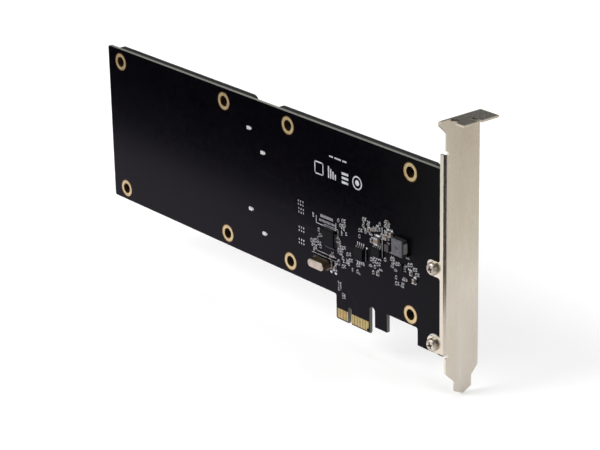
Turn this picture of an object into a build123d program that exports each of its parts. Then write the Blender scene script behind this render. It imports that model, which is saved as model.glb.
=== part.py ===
"""Expansion card that carries two 2.5 inch solid state drives on its far side.

The card stands upright: +X runs along the contact edge to the slot bracket, +Z runs up the
card, and -Y points out of the component side. The origin is the middle of the key notch at
the lowest edge of the contacts, half way through the board's thickness.
"""
import os

from build123d import *

# Board outline, in X and Z
BOARD_T = 1.57
BOARD_BOTTOM = 11.3
BOARD_ABOVE_DRIVES = 1.935
BOARD_BELOW_DRIVES = 1.465
BOARD_SHORT_OF_DRIVE = 0.27
BOARD_TO_BRACKET = 1.19
BOARD_CORNER_R = 1.0
KEY_WIDTH = 1.9
KEY_HEIGHT = 7.6
CONTACT_PITCH = 1.0
SHORT_CONTACTS = 7
LONG_CONTACTS = 11
FIRST_CONTACT = 1.5
LAST_CONTACT_MARGIN = 1.1
CONTACT_WIDTH = 0.7
CONTACT_BOTTOM = 0.8
CONTACT_TOP = 5.1
CONTACT_SHORTER = 1.1
EDGE_BEVEL_HEIGHT = 0.7
EDGE_BEVEL_DEPTH = 0.35
SLOT_WIDTH = 3.3
SLOT_TOP = 12.4
SLOT_TOP_FLAT = 0.07
TAB_WIDTH = 7.5
TAB_BOTTOM = 3.9
RUN_BOTTOM = 12.3
FOOT_LEFT = 42.1
FOOT_BOTTOM = 4.6

# Plated pads on both faces of the board
PAD_T = 0.05
RING_OUTER_R = 4.0
RING_HOLE_R = 2.4
PLATING_T = 0.1

# Drives, sized outward from their mounting holes
DRIVE_T = 7.0
DRIVE_CORNER_R = 2.5
DRIVE_INNER_R = 1.0
DRIVE_HOLE_PITCH = 76.6
DRIVE_HOLE_SPREAD = 61.72
DRIVE_HOLE_NEAR = 14.0
DRIVE_HOLE_FAR = 9.6
DRIVE_HOLE_SIDE = 4.065
DRIVE_TO_BRACKET = 10.74
DRIVE_THREAD_R = 1.3
DRIVE_THREAD_DEPTH = 3.0
DRIVE_SIDE_HOLE_UP = 3.0
DRIVE_SIDE_HOLE_DEPTH = 2.2
FLOOR_T = 1.0
WALL_T = 1.5
COVER_T = 1.0
COVER_RIM = 0.5
LABEL_RECESS = 0.2
LABEL_SIDE_MARGIN = 6.0
LABEL_END_MARGIN = 12.0
BOSS_LENGTH = 7.4
BOSS_REACH = 8.2
BOSS_TOP = 4.4
POST_INSET = 5.0
POST_R = 2.2
CASE_SCREW_R = 0.8
CASE_SCREW_HEAD_R = 1.5
CASE_SCREW_LENGTH = 4.0
CASE_SCREW_SLOT = 0.4
INNER_BOARD_T = 0.8
INNER_BOARD_GAP = 0.5
FLASH_SIZE = (12.0, 18.0, 1.0)
FLASH_COLUMNS = 2
FLASH_PITCH = 17.0
FLASH_START = 46.0
FLASH_FROM_MIDDLE = 1.0
DRIVE_CHIP = 14.0
DRIVE_CHIP_T = 1.1
DRIVE_CHIP_GAP = 6.0

# Plug in the drive's end and the socket that holds it
PLUG_OFFSET = 4.5
PLUG_ACROSS = 41.0
PLUG_ARM = 1.6
PLUG_ARM_START = 0.3
PLUG_BACK = (5.6, 8.6)
PLUG_LIFT = 1.2
PLUG_FIT = 0.1
MATE_CLEARANCE = 0.15
TONGUE_T = 1.2
TONGUE_UP = 3.0
TONGUE_LENGTH = 5.0
POWER_TONGUE = (-16.7, 4.0)
DATA_TONGUE = (6.4, 16.7)
TONGUE_HOOK = 1.3
PLUG_PITCH = 1.27
POWER_PINS = 15
DATA_PINS = 7
PIN_WIDTH = 0.7
PIN_T = 0.2
PIN_SHORTER = 0.5
SOCKET_DEPTH = 7.0
SOCKET_ACROSS = 41.6
SOCKET_HEIGHT = 6.2
SOCKET_BEVEL = 0.6
SOCKET_NOSE = 5.0
SOCKET_NOSE_DROP = 0.4
SOCKET_NOSE_BEVEL = 0.3
SOCKET_TAIL = 0.6
SOCKET_PIN_SHORTER = 0.6
SOCKETS_APART = 0.52
PEG_SPREAD = 37.25
PEG_IN = 3.3
PEG_SIZE = (2.1, 1.5)
PEG_ROOT = 2.0
PEG_STAND = 0.45
PEG_CLEARANCE = 0.1

# Slot bracket, folded from one sheet
SHEET_T = 0.86
BRACKET_FACE_X = 59.05
BRACKET_WIDTH = 18.42
BRACKET_HEIGHT = 120.0
BRACKET_BOTTOM = -13.7
PLATE_INSET = 0.8
BEND_R = 0.45
TOP_TAB_REACH = 11.43
EAR_REACH = 3.17
EAR_HEIGHT = 2.2
EAR_R = 0.5
FLANGE_WIDTH = 2.9
FLANGE_LOW = 5.7
FLANGE_BELOW_TOP = 15.1
RELIEF_HEIGHT = 1.5
RELIEF_DEPTH = 1.8
TAPER_NEAR_UP = 11.1
TAPER_FAR_UP = 10.5
TAPER_R = 0.8
TONGUE_NEAR = 5.8
TONGUE_FAR = 14.9
TONGUE_NEAR_UP = 6.1
TONGUE_FAR_UP = 6.8
TONGUE_ROOT_R = 0.4
TONGUE_TIP = 2.0
TONGUE_TIP_R = 0.6
SCREW_NOTCH_NEAR_X = 1.3
SCREW_NOTCH_WIDTH = 4.6
SCREW_NOTCH_DEPTH = 6.1
PRONG_SHORTER = 2.9
SIDE_NOTCH_FAR = 9.2
SIDE_NOTCH_WIDTH = 1.9
SIDE_NOTCH_DEPTH = 4.6
LUG_REACH = 10.15
LUG_HALF = 3.35
LUG_R = 2.3
LUG_FILLET = 1.2
LUG_SCREW_IN = 6.6
LUG_SCREW_Z = (8.8, 42.0)
LUG_PAD_R = (4.25, 3.2)
SCREW_R = 1.5
SCREW_HOLE_R = 1.65
SCREW_HEAD_R = 2.75
SCREW_HEAD_T = 1.9
SCREW_HEAD_ROUNDING = 1.14
SCREW_END = 0.6
RECESS_LENGTH = 2.9
RECESS_WIDTH = 0.75
RECESS_DEPTH = 1.1
RECESS_TURN = 20
NUT_FLATS = 5.5
NUT_T = 2.4

# Parts soldered on the near face: centres are (X, Z)
CONTROLLER_AT = (-12.2, 35.4)
CONTROLLER_BODY = 7.0
CONTROLLER_T = 1.4
CONTROLLER_SPAN = 9.0
CONTROLLER_PITCH = 0.5
CONTROLLER_LEAD_COUNT = 12
MEMORY_AT = (7.4, 34.3)
MEMORY_BODY = (5.3, 5.3)
MEMORY_T = 1.8
MEMORY_SPAN = 7.9
REGULATOR_AT = (17.9, 38.1)
REGULATOR_BODY = (5.0, 3.8)
REGULATOR_T = 1.5
REGULATOR_SPAN = 6.0
WIDE_PITCH = 1.27
ROW_LEAD_COUNT = 4
LEAD_T = 0.15
FINE_LEAD_WIDTH = 0.22
WIDE_LEAD_WIDTH = 0.45
LEAD_SHOULDER_SHARE = 0.35
LEAD_FOOT_SHARE = 0.55
BODY_LIFT = 0.1
BODY_BEVEL = 0.12
CRYSTAL_AT = (-17.8, 22.6)
CRYSTAL_CAN = (10.2, 3.8, 3.4)
CRYSTAL_CAN_ROUNDING = 0.5
CRYSTAL_FLANGE = (11.4, 4.8, 0.45)
INDUCTOR_AT = (32.6, 45.2)
INDUCTOR_BODY = (6.6, 7.2, 3.0)
INDUCTOR_CHAMFER = 0.4
TERMINAL_WIDTH = 3.0
TERMINAL_T = 0.15
TERMINAL_UP = 1.6
TERMINAL_FOOT = 1.6
DIODE_AT = (24.7, 42.3)
DIODE_BODY = (2.6, 3.2, 1.4)
DIODE_FOOT_WIDTH = 1.6
DIODE_FOOT_UNDER = 0.8
DIODE_FOOT_BEYOND = 0.5
SMALL_IC_AT = (33.4, 35.9)
SMALL_IC_BODY = (1.6, 2.9)
SMALL_IC_T = 1.1
SMALL_IC_SPAN = 2.8
SMALL_IC_PITCH = 0.95
SMALL_IC_LEAD_COUNT = 3
BULK_CAPACITOR = (3.2, 2.5, 1.6)
LARGE_CHIP = (2.0, 1.25, 1.2)
MEDIUM_CHIP = (1.6, 0.8, 0.8)
SMALL_CHIP = (1.0, 0.5, 0.5)
CHIP_END_SHARE = 0.22

# Places of the small parts: (X, Z, stands upright)
BULK_CAPACITORS = [(18.3, 43.4, True)]
LARGE_CAPACITORS = [(24.6, 48.6, True), (26.7, 48.6, True), (23.4, 46.1, False), (40.6, 32.6, True)]
MEDIUM_CAPACITORS = [
    (23.7, 51.3, False), (23.7, 53.1, False), (14.5, 42.5, True), (12.9, 46.5, True),
    (15.3, 47.3, False), (17.8, 48.6, True), (-10.9, 27.7, False),
    (34.7, 31.3, False), (38.4, 35.2, True), (18.2, 29.0, True), (-8.8, 22.9, True),
]
SMALL_CAPACITORS = [
    (-6.6, 45.0, True), (-5.3, 43.2, True), (-3.9, 45.6, True), (-2.6, 44.0, True),
    (-7.0, 36.9, False), (-7.0, 35.2, False), (-5.2, 33.3, True), (-6.6, 31.7, True),
    (-5.2, 30.3, False), (-3.9, 28.9, True), (-0.9, 31.5, True), (0.4, 29.2, True),
    (-1.2, 27.6, False), (9.2, 50.2, True), (9.2, 47.3, True), (10.6, 45.1, True),
    (12.2, 48.6, False), (20.4, 46.3, True), (19.4, 51.0, True), (26.4, 37.8, True),
    (28.0, 37.2, True), (29.6, 36.6, True), (36.9, 38.4, True), (40.1, 37.3, True),
]
MEDIUM_RESISTORS = [(-6.6, 26.2, True)]
SMALL_RESISTORS = [
    (-19.4, 37.2, True), (-18.8, 34.9, True), (-24.4, 31.0, True), (-22.9, 30.2, True),
    (-21.3, 31.8, True), (-19.8, 30.9, True), (-18.3, 29.9, True), (-21.8, 28.1, False),
    (-11.4, 21.6, True), (-4.0, 25.2, True), (6.7, 44.6, True), (6.7, 41.9, True),
    (5.3, 28.6, True), (5.3, 25.7, True), (13.9, 33.9, True), (15.4, 33.4, True),
    (13.6, 30.9, False), (16.2, 31.2, True), (17.9, 32.9, True), (15.2, 28.4, True),
    (27.0, 34.6, False), (29.0, 33.6, False), (29.3, 30.6, True), (29.3, 28.0, True),
    (38.6, 38.8, True), (41.4, 35.4, True), (22.6, 36.4, True), (33.1, 27.8, False),
]

# Planes that follow from the sizes above
NEAR_Y = -BOARD_T / 2
FAR_Y = BOARD_T / 2
NEAR_PAD_Y = NEAR_Y - PAD_T
FAR_PAD_Y = FAR_Y + PAD_T
CARD_EDGE_LEFT = -FIRST_CONTACT - (SHORT_CONTACTS - 1) * CONTACT_PITCH - LAST_CONTACT_MARGIN
CARD_EDGE_RIGHT = FIRST_CONTACT + (LONG_CONTACTS - 1) * CONTACT_PITCH + LAST_CONTACT_MARGIN
BEND_OUTER_R = BEND_R + SHEET_T
BRACKET_INNER_X = BRACKET_FACE_X - SHEET_T
BRACKET_TOP = BRACKET_BOTTOM + BRACKET_HEIGHT
BRACKET_NEAR_Y = NEAR_PAD_Y - SHEET_T
BRACKET_FAR_Y = BRACKET_NEAR_Y + BRACKET_WIDTH
FLANGE_LEFT = BRACKET_FACE_X - FLANGE_WIDTH
FLANGE_HIGH = BRACKET_TOP - FLANGE_BELOW_TOP
LUG_LEFT = BRACKET_FACE_X - LUG_REACH
LUG_SCREW_X = BRACKET_FACE_X - LUG_SCREW_IN
LID_Y = DRIVE_T - COVER_T
DRIVE_LENGTH = DRIVE_HOLE_NEAR + DRIVE_HOLE_PITCH + DRIVE_HOLE_FAR
DRIVE_WIDTH = DRIVE_HOLE_SPREAD + 2 * DRIVE_HOLE_SIDE
DRIVE_MID_Z = BOARD_BOTTOM + BOARD_BELOW_DRIVES + DRIVE_WIDTH / 2
RIGHT_DRIVE_X = BRACKET_INNER_X - DRIVE_TO_BRACKET - DRIVE_LENGTH
LEFT_DRIVE_X = RIGHT_DRIVE_X - 2 * (SOCKET_DEPTH + SOCKET_TAIL) - SOCKETS_APART
BOARD_LEFT = LEFT_DRIVE_X - DRIVE_LENGTH + BOARD_SHORT_OF_DRIVE
BOARD_RIGHT = BRACKET_INNER_X - BOARD_TO_BRACKET
BOARD_TOP = DRIVE_MID_Z + DRIVE_WIDTH / 2 + BOARD_ABOVE_DRIVES

# The drive is drawn once, with X from its plug end inward, Z across it and Y up from its seat
DRIVE_PLACES = {
    "left": Location((LEFT_DRIVE_X, FAR_PAD_Y, DRIVE_MID_Z), (0, 180, 0)),
    "right": Location((RIGHT_DRIVE_X, FAR_PAD_Y, DRIVE_MID_Z)),
}


def slab(outline, y_low, thickness):
    """Raise an outline drawn in X and Z into a slab that grows from y_low towards +Y."""
    return extrude(Plane.XZ.offset(-y_low) * outline, amount=-thickness)


def block(x_range, y_range, z_range):
    """A plain block between three pairs of limits."""
    size = [high - low for low, high in (x_range, y_range, z_range)]
    middle = [(low + high) / 2 for low, high in (x_range, y_range, z_range)]
    return Pos(*middle) * Box(*size)


def outline_of(corners, radii=None):
    """A closed face through the corners, rounded where a radius is given."""
    if radii is None:
        return make_face(Polyline(*corners, close=True))
    return make_face(FilletPolyline(*corners, radius=radii, close=True))


def disc(radius, x, z, y_low, thickness):
    """A round slab that lies parallel to the board."""
    return slab(Pos(x, z) * Circle(radius), y_low, thickness)


def annulus(outer_r, inner_r, x, z, y_low, thickness):
    """A flat ring that lies parallel to the board."""
    return slab(Pos(x, z) * (Circle(outer_r) - Circle(inner_r)), y_low, thickness)


def drive_hole_points():
    """The board's eight drive holes, as (X, Z)."""
    columns = [RIGHT_DRIVE_X + DRIVE_HOLE_NEAR, RIGHT_DRIVE_X + DRIVE_HOLE_NEAR + DRIVE_HOLE_PITCH]
    columns += [LEFT_DRIVE_X - DRIVE_HOLE_NEAR, LEFT_DRIVE_X - DRIVE_HOLE_NEAR - DRIVE_HOLE_PITCH]
    rows = [DRIVE_MID_Z - DRIVE_HOLE_SPREAD / 2, DRIVE_MID_Z + DRIVE_HOLE_SPREAD / 2]
    return [(x, z) for x in columns for z in rows]


def peg_points(side):
    """The two holding pegs of one socket, as (X, Z) on the card."""
    turn = 1 if side == "left" else -1
    drive_x = LEFT_DRIVE_X if side == "left" else RIGHT_DRIVE_X
    middle_z = DRIVE_MID_Z + turn * PLUG_OFFSET
    return [(drive_x + turn * PEG_IN, middle_z + way * PEG_SPREAD / 2) for way in (-1, 1)]


def circuit_board():
    """Bare board with its contact edge, key notch, slot, blank tab and bracket foot."""
    slot_left = CARD_EDGE_RIGHT
    slot_right = slot_left + SLOT_WIDTH
    tab_right = slot_right + TAB_WIDTH
    corners = [
        (BOARD_LEFT, BOARD_TOP), (BOARD_RIGHT, BOARD_TOP), (BOARD_RIGHT, FOOT_BOTTOM),
        (FOOT_LEFT, FOOT_BOTTOM), (FOOT_LEFT, RUN_BOTTOM), (tab_right, RUN_BOTTOM),
        (tab_right, TAB_BOTTOM), (slot_right, TAB_BOTTOM), (slot_right, SLOT_TOP),
        (slot_left, SLOT_TOP), (slot_left, 0), (CARD_EDGE_LEFT, 0),
        (CARD_EDGE_LEFT, BOARD_BOTTOM), (BOARD_LEFT, BOARD_BOTTOM),
    ]
    slot_r = (SLOT_WIDTH - SLOT_TOP_FLAT) / 2
    radii = [BOARD_CORNER_R, 0, 0, 0, BOARD_CORNER_R, 0, 0, 0, slot_r, slot_r, 0, 0]
    radii += [BOARD_CORNER_R, BOARD_CORNER_R]
    board = slab(outline_of(corners, radii), NEAR_Y, BOARD_T)
    board -= block((-KEY_WIDTH / 2, KEY_WIDTH / 2), (NEAR_Y, FAR_Y), (0, KEY_HEIGHT - KEY_WIDTH / 2))
    board -= disc(KEY_WIDTH / 2, 0, KEY_HEIGHT - KEY_WIDTH / 2, NEAR_Y, BOARD_T)
    for x, z in drive_hole_points():
        board -= disc(RING_HOLE_R + PLATING_T, x, z, NEAR_Y, BOARD_T)
    for z in LUG_SCREW_Z:
        board -= disc(SCREW_HOLE_R, LUG_SCREW_X, z, NEAR_Y, BOARD_T)
    for side in DRIVE_PLACES:
        for x, z in peg_points(side):
            opening = Rectangle(PEG_SIZE[0] + 2 * PEG_CLEARANCE, PEG_SIZE[1] + 2 * PEG_CLEARANCE)
            board -= slab(Pos(x, z) * opening, NEAR_Y, BOARD_T)
    return board - edge_bevels()


def edge_bevels():
    """The two wedges planed off the lowest edge of the contacts."""
    span = CARD_EDGE_RIGHT - CARD_EDGE_LEFT
    wedges = []
    for face_y, inward in ((NEAR_Y, 1), (FAR_Y, -1)):
        corners = [(face_y, 0), (face_y + inward * EDGE_BEVEL_DEPTH, 0), (face_y, EDGE_BEVEL_HEIGHT)]
        start = Plane.YZ.offset(CARD_EDGE_LEFT)
        wedges.append(extrude(start * outline_of(corners), amount=span))
    return wedges


def contact_centres():
    """Middles of the contact fingers along X, from left to right."""
    left = [-FIRST_CONTACT - CONTACT_PITCH * step for step in range(SHORT_CONTACTS)]
    right = [FIRST_CONTACT + CONTACT_PITCH * step for step in range(LONG_CONTACTS)]
    return sorted(left) + right


def edge_contacts(y_low, shorter_index):
    """Gold fingers on one face, of which one starts higher than the rest."""
    fingers = []
    for index, x in enumerate(contact_centres()):
        low = CONTACT_BOTTOM + (CONTACT_SHORTER if index == shorter_index else 0)
        x_range = (x - CONTACT_WIDTH / 2, x + CONTACT_WIDTH / 2)
        fingers.append(block(x_range, (y_low, y_low + PAD_T), (low, CONTACT_TOP)))
    return fingers


def plated_ring(x, z):
    """Plated drive hole: a barrel with a flat ring on each face."""
    barrel = annulus(RING_HOLE_R + PLATING_T, RING_HOLE_R, x, z, NEAR_Y, BOARD_T)
    near = annulus(RING_OUTER_R, RING_HOLE_R, x, z, NEAR_PAD_Y, PAD_T)
    far = annulus(RING_OUTER_R, RING_HOLE_R, x, z, FAR_Y, PAD_T)
    return barrel + near + far


def bracket_hole_pads():
    """Tinned rings under the bracket's lugs and under the nuts."""
    pads = []
    for z, radius in zip(LUG_SCREW_Z, LUG_PAD_R):
        pads.append(annulus(radius, SCREW_HOLE_R, LUG_SCREW_X, z, NEAR_PAD_Y, PAD_T))
        pads.append(annulus(LUG_PAD_R[1], SCREW_HOLE_R, LUG_SCREW_X, z, FAR_Y, PAD_T))
    return pads


def bracket_plate():
    """Long plate with its top bend, ear, tapered foot and tongue, before its notches."""
    tab_end = BRACKET_INNER_X + TOP_TAB_REACH
    path = [
        (BRACKET_INNER_X, BRACKET_BOTTOM), (BRACKET_FACE_X, BRACKET_BOTTOM),
        (BRACKET_FACE_X, BRACKET_TOP - SHEET_T), (tab_end, BRACKET_TOP - SHEET_T),
        (tab_end, BRACKET_TOP), (BRACKET_INNER_X, BRACKET_TOP),
    ]
    fold = outline_of(path, [0, 0, BEND_R, 0, 0, BEND_OUTER_R])
    low_y = BRACKET_NEAR_Y - EAR_REACH
    folded = slab(fold, low_y, BRACKET_WIDTH + EAR_REACH)
    edge_y, far_y, low_z = BRACKET_NEAR_Y + PLATE_INSET, BRACKET_FAR_Y, BRACKET_BOTTOM
    tongue_near, tongue_far = BRACKET_NEAR_Y + TONGUE_NEAR, BRACKET_NEAR_Y + TONGUE_FAR
    ear_low = BRACKET_TOP - EAR_HEIGHT
    front = [
        (low_y, BRACKET_TOP), (low_y, ear_low), (edge_y, ear_low - EAR_REACH - PLATE_INSET),
        (edge_y, low_z + TAPER_NEAR_UP), (tongue_near, low_z + TONGUE_NEAR_UP),
        (tongue_near, low_z + TONGUE_TIP), ((tongue_near + tongue_far) / 2, low_z),
        (tongue_far, low_z + TONGUE_TIP), (tongue_far, low_z + TONGUE_FAR_UP),
        (far_y, low_z + TAPER_FAR_UP), (far_y, BRACKET_TOP),
    ]
    tip = [TONGUE_ROOT_R, TONGUE_TIP_R, TONGUE_TIP_R, TONGUE_TIP_R, TONGUE_ROOT_R]
    rounding = [0, EAR_R, EAR_R, TAPER_R] + tip + [TAPER_R, 0]
    face = Plane.YZ.offset(BRACKET_INNER_X) * outline_of(front, rounding)
    return folded & extrude(face, amount=TOP_TAB_REACH + SHEET_T)


def top_tab_notches():
    """Cuts through the top tab: screw notch, shortened prong and side notch."""
    z_range = (BRACKET_TOP - SHEET_T, BRACKET_TOP)
    ear_y = BRACKET_NEAR_Y - EAR_REACH
    notch_x = BRACKET_FACE_X + SCREW_NOTCH_NEAR_X
    notch_end = ear_y + SCREW_NOTCH_DEPTH
    radius = SCREW_NOTCH_WIDTH / 2
    tab_end = BRACKET_INNER_X + TOP_TAB_REACH
    notch = block((notch_x, notch_x + SCREW_NOTCH_WIDTH), (ear_y, notch_end - radius), z_range)
    rounded_end = Pos(notch_x + radius, notch_end - radius, BRACKET_TOP - SHEET_T / 2)
    notch += rounded_end * Cylinder(radius, SHEET_T)
    prong = block((notch_x + SCREW_NOTCH_WIDTH, tab_end), (ear_y, ear_y + PRONG_SHORTER), z_range)
    side_y = BRACKET_FAR_Y - SIDE_NOTCH_FAR
    side = block((tab_end - SIDE_NOTCH_DEPTH, tab_end), (side_y - SIDE_NOTCH_WIDTH, side_y), z_range)
    return [notch, prong, side]


def bracket_flange():
    """Strip folded back along the board's near face, with two screw lugs."""
    near, bend_end = BRACKET_NEAR_Y, BRACKET_NEAR_Y + 2 * BEND_OUTER_R
    fold = [
        (FLANGE_LEFT, near), (BRACKET_FACE_X, near), (BRACKET_FACE_X, bend_end),
        (BRACKET_INNER_X, bend_end), (BRACKET_INNER_X, near + SHEET_T), (FLANGE_LEFT, near + SHEET_T),
    ]
    profile = outline_of(fold, [0, BEND_OUTER_R, 0, 0, BEND_R, 0])
    strip = extrude(Plane.XY.offset(FLANGE_LOW) * profile, amount=FLANGE_HIGH - FLANGE_LOW)
    for z in LUG_SCREW_Z:
        low = max(z - LUG_HALF, FLANGE_LOW)
        corners = [
            (FLANGE_LEFT, z + LUG_HALF), (LUG_LEFT, z + LUG_HALF), (LUG_LEFT, low), (FLANGE_LEFT, low),
        ]
        strip += slab(outline_of(corners, [0, LUG_R, LUG_R, 0]), near, SHEET_T)
    return strip


def lug_fillets(bracket):
    """Edges in the corners where the lugs meet the flange strip."""
    highest = LUG_SCREW_Z[-1] + LUG_HALF + LUG_FILLET
    edges = bracket.edges().filter_by(Axis.Y).filter_by_position(Axis.X, FLANGE_LEFT, FLANGE_LEFT)
    return edges.filter_by_position(Axis.Z, FLANGE_LOW + LUG_FILLET, highest)


def slot_bracket():
    """One folded sheet: plate, top tab, flange and lugs."""
    near = BRACKET_NEAR_Y
    bend_zone = (BRACKET_INNER_X, BRACKET_FACE_X)
    plate = bracket_plate()
    plate -= block(bend_zone, (near, near + 2 * BEND_OUTER_R), (FLANGE_LOW, FLANGE_HIGH))
    for low in (FLANGE_LOW - RELIEF_HEIGHT, FLANGE_HIGH):
        plate -= block(bend_zone, (near, near + RELIEF_DEPTH), (low, low + RELIEF_HEIGHT))
    for cut in top_tab_notches():
        plate -= cut
    bracket = plate + bracket_flange()
    bracket = fillet(lug_fillets(bracket), LUG_FILLET)
    for z in LUG_SCREW_Z:
        bracket -= disc(SCREW_HOLE_R, LUG_SCREW_X, z, near, SHEET_T)
    return bracket


def bracket_screw(z):
    """Pan head screw with a cross recess, passed through lug, board and nut."""
    shank_end = FAR_PAD_Y + NUT_T + SCREW_END
    shank = disc(SCREW_R, LUG_SCREW_X, z, BRACKET_NEAR_Y, shank_end - BRACKET_NEAR_Y)
    head_low = BRACKET_NEAR_Y - SCREW_HEAD_T
    head = disc(SCREW_HEAD_R, LUG_SCREW_X, z, head_low, SCREW_HEAD_T)
    rim = head.edges().filter_by(GeomType.CIRCLE).sort_by(Axis.Y)[0]
    head = fillet(rim, SCREW_HEAD_ROUNDING)
    cross = Rectangle(RECESS_LENGTH, RECESS_WIDTH) + Rectangle(RECESS_WIDTH, RECESS_LENGTH)
    head -= slab(Pos(LUG_SCREW_X, z) * Rot(0, 0, RECESS_TURN) * cross, head_low, RECESS_DEPTH)
    return head + shank


def bracket_nut(z):
    """Hexagon nut on the board's far face."""
    hexagon = RegularPolygon(NUT_FLATS / 2, 6, major_radius=False) - Circle(SCREW_R)
    return slab(Pos(LUG_SCREW_X, z) * hexagon, FAR_PAD_Y, NUT_T)


def drive_outline(inset=0.0):
    """Rounded outline of the drive's case, in X from the plug end and Z across."""
    radius = DRIVE_INNER_R if inset else DRIVE_CORNER_R
    shape = RectangleRounded(DRIVE_LENGTH - 2 * inset, DRIVE_WIDTH - 2 * inset, radius)
    return Pos(DRIVE_LENGTH / 2, 0) * shape


def drive_boss_points():
    """Threaded places of the case, as (X, Z) in the drive's own frame."""
    columns = (DRIVE_HOLE_NEAR, DRIVE_HOLE_NEAR + DRIVE_HOLE_PITCH)
    return [(x, way * DRIVE_HOLE_SPREAD / 2) for x in columns for way in (-1, 1)]


def drive_post_points():
    """Corner posts that take the cover's screws."""
    columns = (POST_INSET, DRIVE_LENGTH - POST_INSET)
    return [(x, way * (DRIVE_WIDTH / 2 - POST_INSET)) for x in columns for way in (-1, 1)]


def plug_span(extra=0.0):
    """Limits across the drive of its plug, with room to spare on each side."""
    return (-PLUG_OFFSET - PLUG_ACROSS / 2 - extra, -PLUG_OFFSET + PLUG_ACROSS / 2 + extra)


def drive_base():
    """Open tray of the case, with threaded bosses, posts and the plug's window."""
    tray = slab(drive_outline(), 0, LID_Y) - slab(drive_outline(WALL_T), FLOOR_T, LID_Y)
    half = DRIVE_WIDTH / 2
    for x, z in drive_boss_points():
        way = 1 if z > 0 else -1
        z_range = sorted((way * (half - WALL_T), way * (half - BOSS_REACH)))
        x_range = (x - BOSS_LENGTH / 2, x + BOSS_LENGTH / 2)
        tray += block(x_range, (FLOOR_T, BOSS_TOP), z_range)
    for x, z in drive_post_points():
        tray += disc(POST_R, x, z, FLOOR_T, LID_Y - FLOOR_T)
    for x, z in drive_boss_points():
        way = 1 if z > 0 else -1
        tray -= disc(DRIVE_THREAD_R, x, z, 0, DRIVE_THREAD_DEPTH)
        middle = way * (half - DRIVE_SIDE_HOLE_DEPTH / 2)
        tray -= Pos(x, DRIVE_SIDE_HOLE_UP, middle) * Cylinder(DRIVE_THREAD_R, DRIVE_SIDE_HOLE_DEPTH)
    for x, z in drive_post_points():
        tray -= disc(CASE_SCREW_R, x, z, DRIVE_T - CASE_SCREW_LENGTH, CASE_SCREW_LENGTH)
    return tray - block((0, WALL_T), (PLUG_LIFT - PLUG_FIT, LID_Y), plug_span(PLUG_FIT))


def drive_cover():
    """Flat cover with a bevelled rim, a shallow label recess and countersunk screw holes."""
    cover = slab(drive_outline(), LID_Y, COVER_T)
    cover = chamfer(cover.edges().group_by(Axis.Y)[-1], COVER_RIM)
    length, across = DRIVE_LENGTH - 2 * LABEL_END_MARGIN, DRIVE_WIDTH - 2 * LABEL_SIDE_MARGIN
    recess = Pos(DRIVE_LENGTH / 2, 0) * RectangleRounded(length, across, DRIVE_CORNER_R)
    cover -= slab(recess, DRIVE_T - LABEL_RECESS, LABEL_RECESS)
    for x, z in drive_post_points():
        cover -= disc(CASE_SCREW_R, x, z, LID_Y, COVER_T)
        cover -= countersink(x, z)
    return cover


def countersink(x, z):
    """Cone that a case screw's head fills, flush with the cover."""
    depth = CASE_SCREW_HEAD_R - CASE_SCREW_R
    cone = Cone(CASE_SCREW_R, CASE_SCREW_HEAD_R, depth)
    return Pos(x, DRIVE_T - depth / 2, z) * Rot(-90, 0, 0) * cone


def case_screw(x, z):
    """Countersunk screw that holds the cover to a corner post."""
    shank = disc(CASE_SCREW_R, x, z, DRIVE_T - CASE_SCREW_LENGTH, CASE_SCREW_LENGTH)
    slot = Rectangle(CASE_SCREW_HEAD_R, CASE_SCREW_SLOT) + Rectangle(CASE_SCREW_SLOT, CASE_SCREW_HEAD_R)
    recess = slab(Pos(x, z) * slot, DRIVE_T - CASE_SCREW_SLOT, CASE_SCREW_SLOT)
    return countersink(x, z) + shank - recess


def drive_inner_board():
    """Circuit board inside the drive, resting on the four bosses."""
    start = PLUG_BACK[1]
    end = DRIVE_LENGTH - WALL_T - INNER_BOARD_GAP
    half = DRIVE_WIDTH / 2 - WALL_T - INNER_BOARD_GAP
    board = block((start, end), (BOSS_TOP, BOSS_TOP + INNER_BOARD_T), (-half, half))
    for x, z in drive_post_points()[2:]:
        way = 1 if z > 0 else -1
        reach = POST_INSET + POST_R + INNER_BOARD_GAP
        z_range = sorted((way * half, way * (DRIVE_WIDTH / 2 - reach)))
        board -= block((DRIVE_LENGTH - reach, end), (BOSS_TOP, BOSS_TOP + INNER_BOARD_T), z_range)
    return board


def drive_flash_chips():
    """Memory packages hanging under the inner board."""
    length, across, height = FLASH_SIZE
    chips = []
    for column in range(FLASH_COLUMNS):
        for way in (-1, 1):
            x = FLASH_START + column * FLASH_PITCH
            z = way * (across / 2 + FLASH_FROM_MIDDLE)
            x_range, z_range = (x, x + length), (z - across / 2, z + across / 2)
            chips.append(block(x_range, (BOSS_TOP - height, BOSS_TOP), z_range))
    return chips


def drive_controller():
    """Processor package hanging under the inner board."""
    x_low = FLASH_START - DRIVE_CHIP - DRIVE_CHIP_GAP
    z_range = (-DRIVE_CHIP / 2, DRIVE_CHIP / 2)
    return block((x_low, x_low + DRIVE_CHIP), (BOSS_TOP - DRIVE_CHIP_T, BOSS_TOP), z_range)


def tongue(span, hook_way, room, length):
    """Hooked blade of the plug, or the space that it needs when room is given."""
    low, high = (-PLUG_OFFSET + limit for limit in span)
    x_range = (PLUG_BACK[0] - length, PLUG_BACK[0])
    base = (TONGUE_UP - TONGUE_T / 2 - room, TONGUE_UP + TONGUE_T / 2 + room)
    blade = block(x_range, base, (low - room, high + room))
    side = low if hook_way < 0 else high - TONGUE_T
    hook = block(x_range, (base[0], base[1] + TONGUE_HOOK), (side - room, side + TONGUE_T + room))
    return blade + hook


def tongue_pair(room=0.0, length=TONGUE_LENGTH):
    """Both blades: the wide one for power and the narrow one for data."""
    return tongue(POWER_TONGUE, -1, room, length) + tongue(DATA_TONGUE, 1, room, length)


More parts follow.
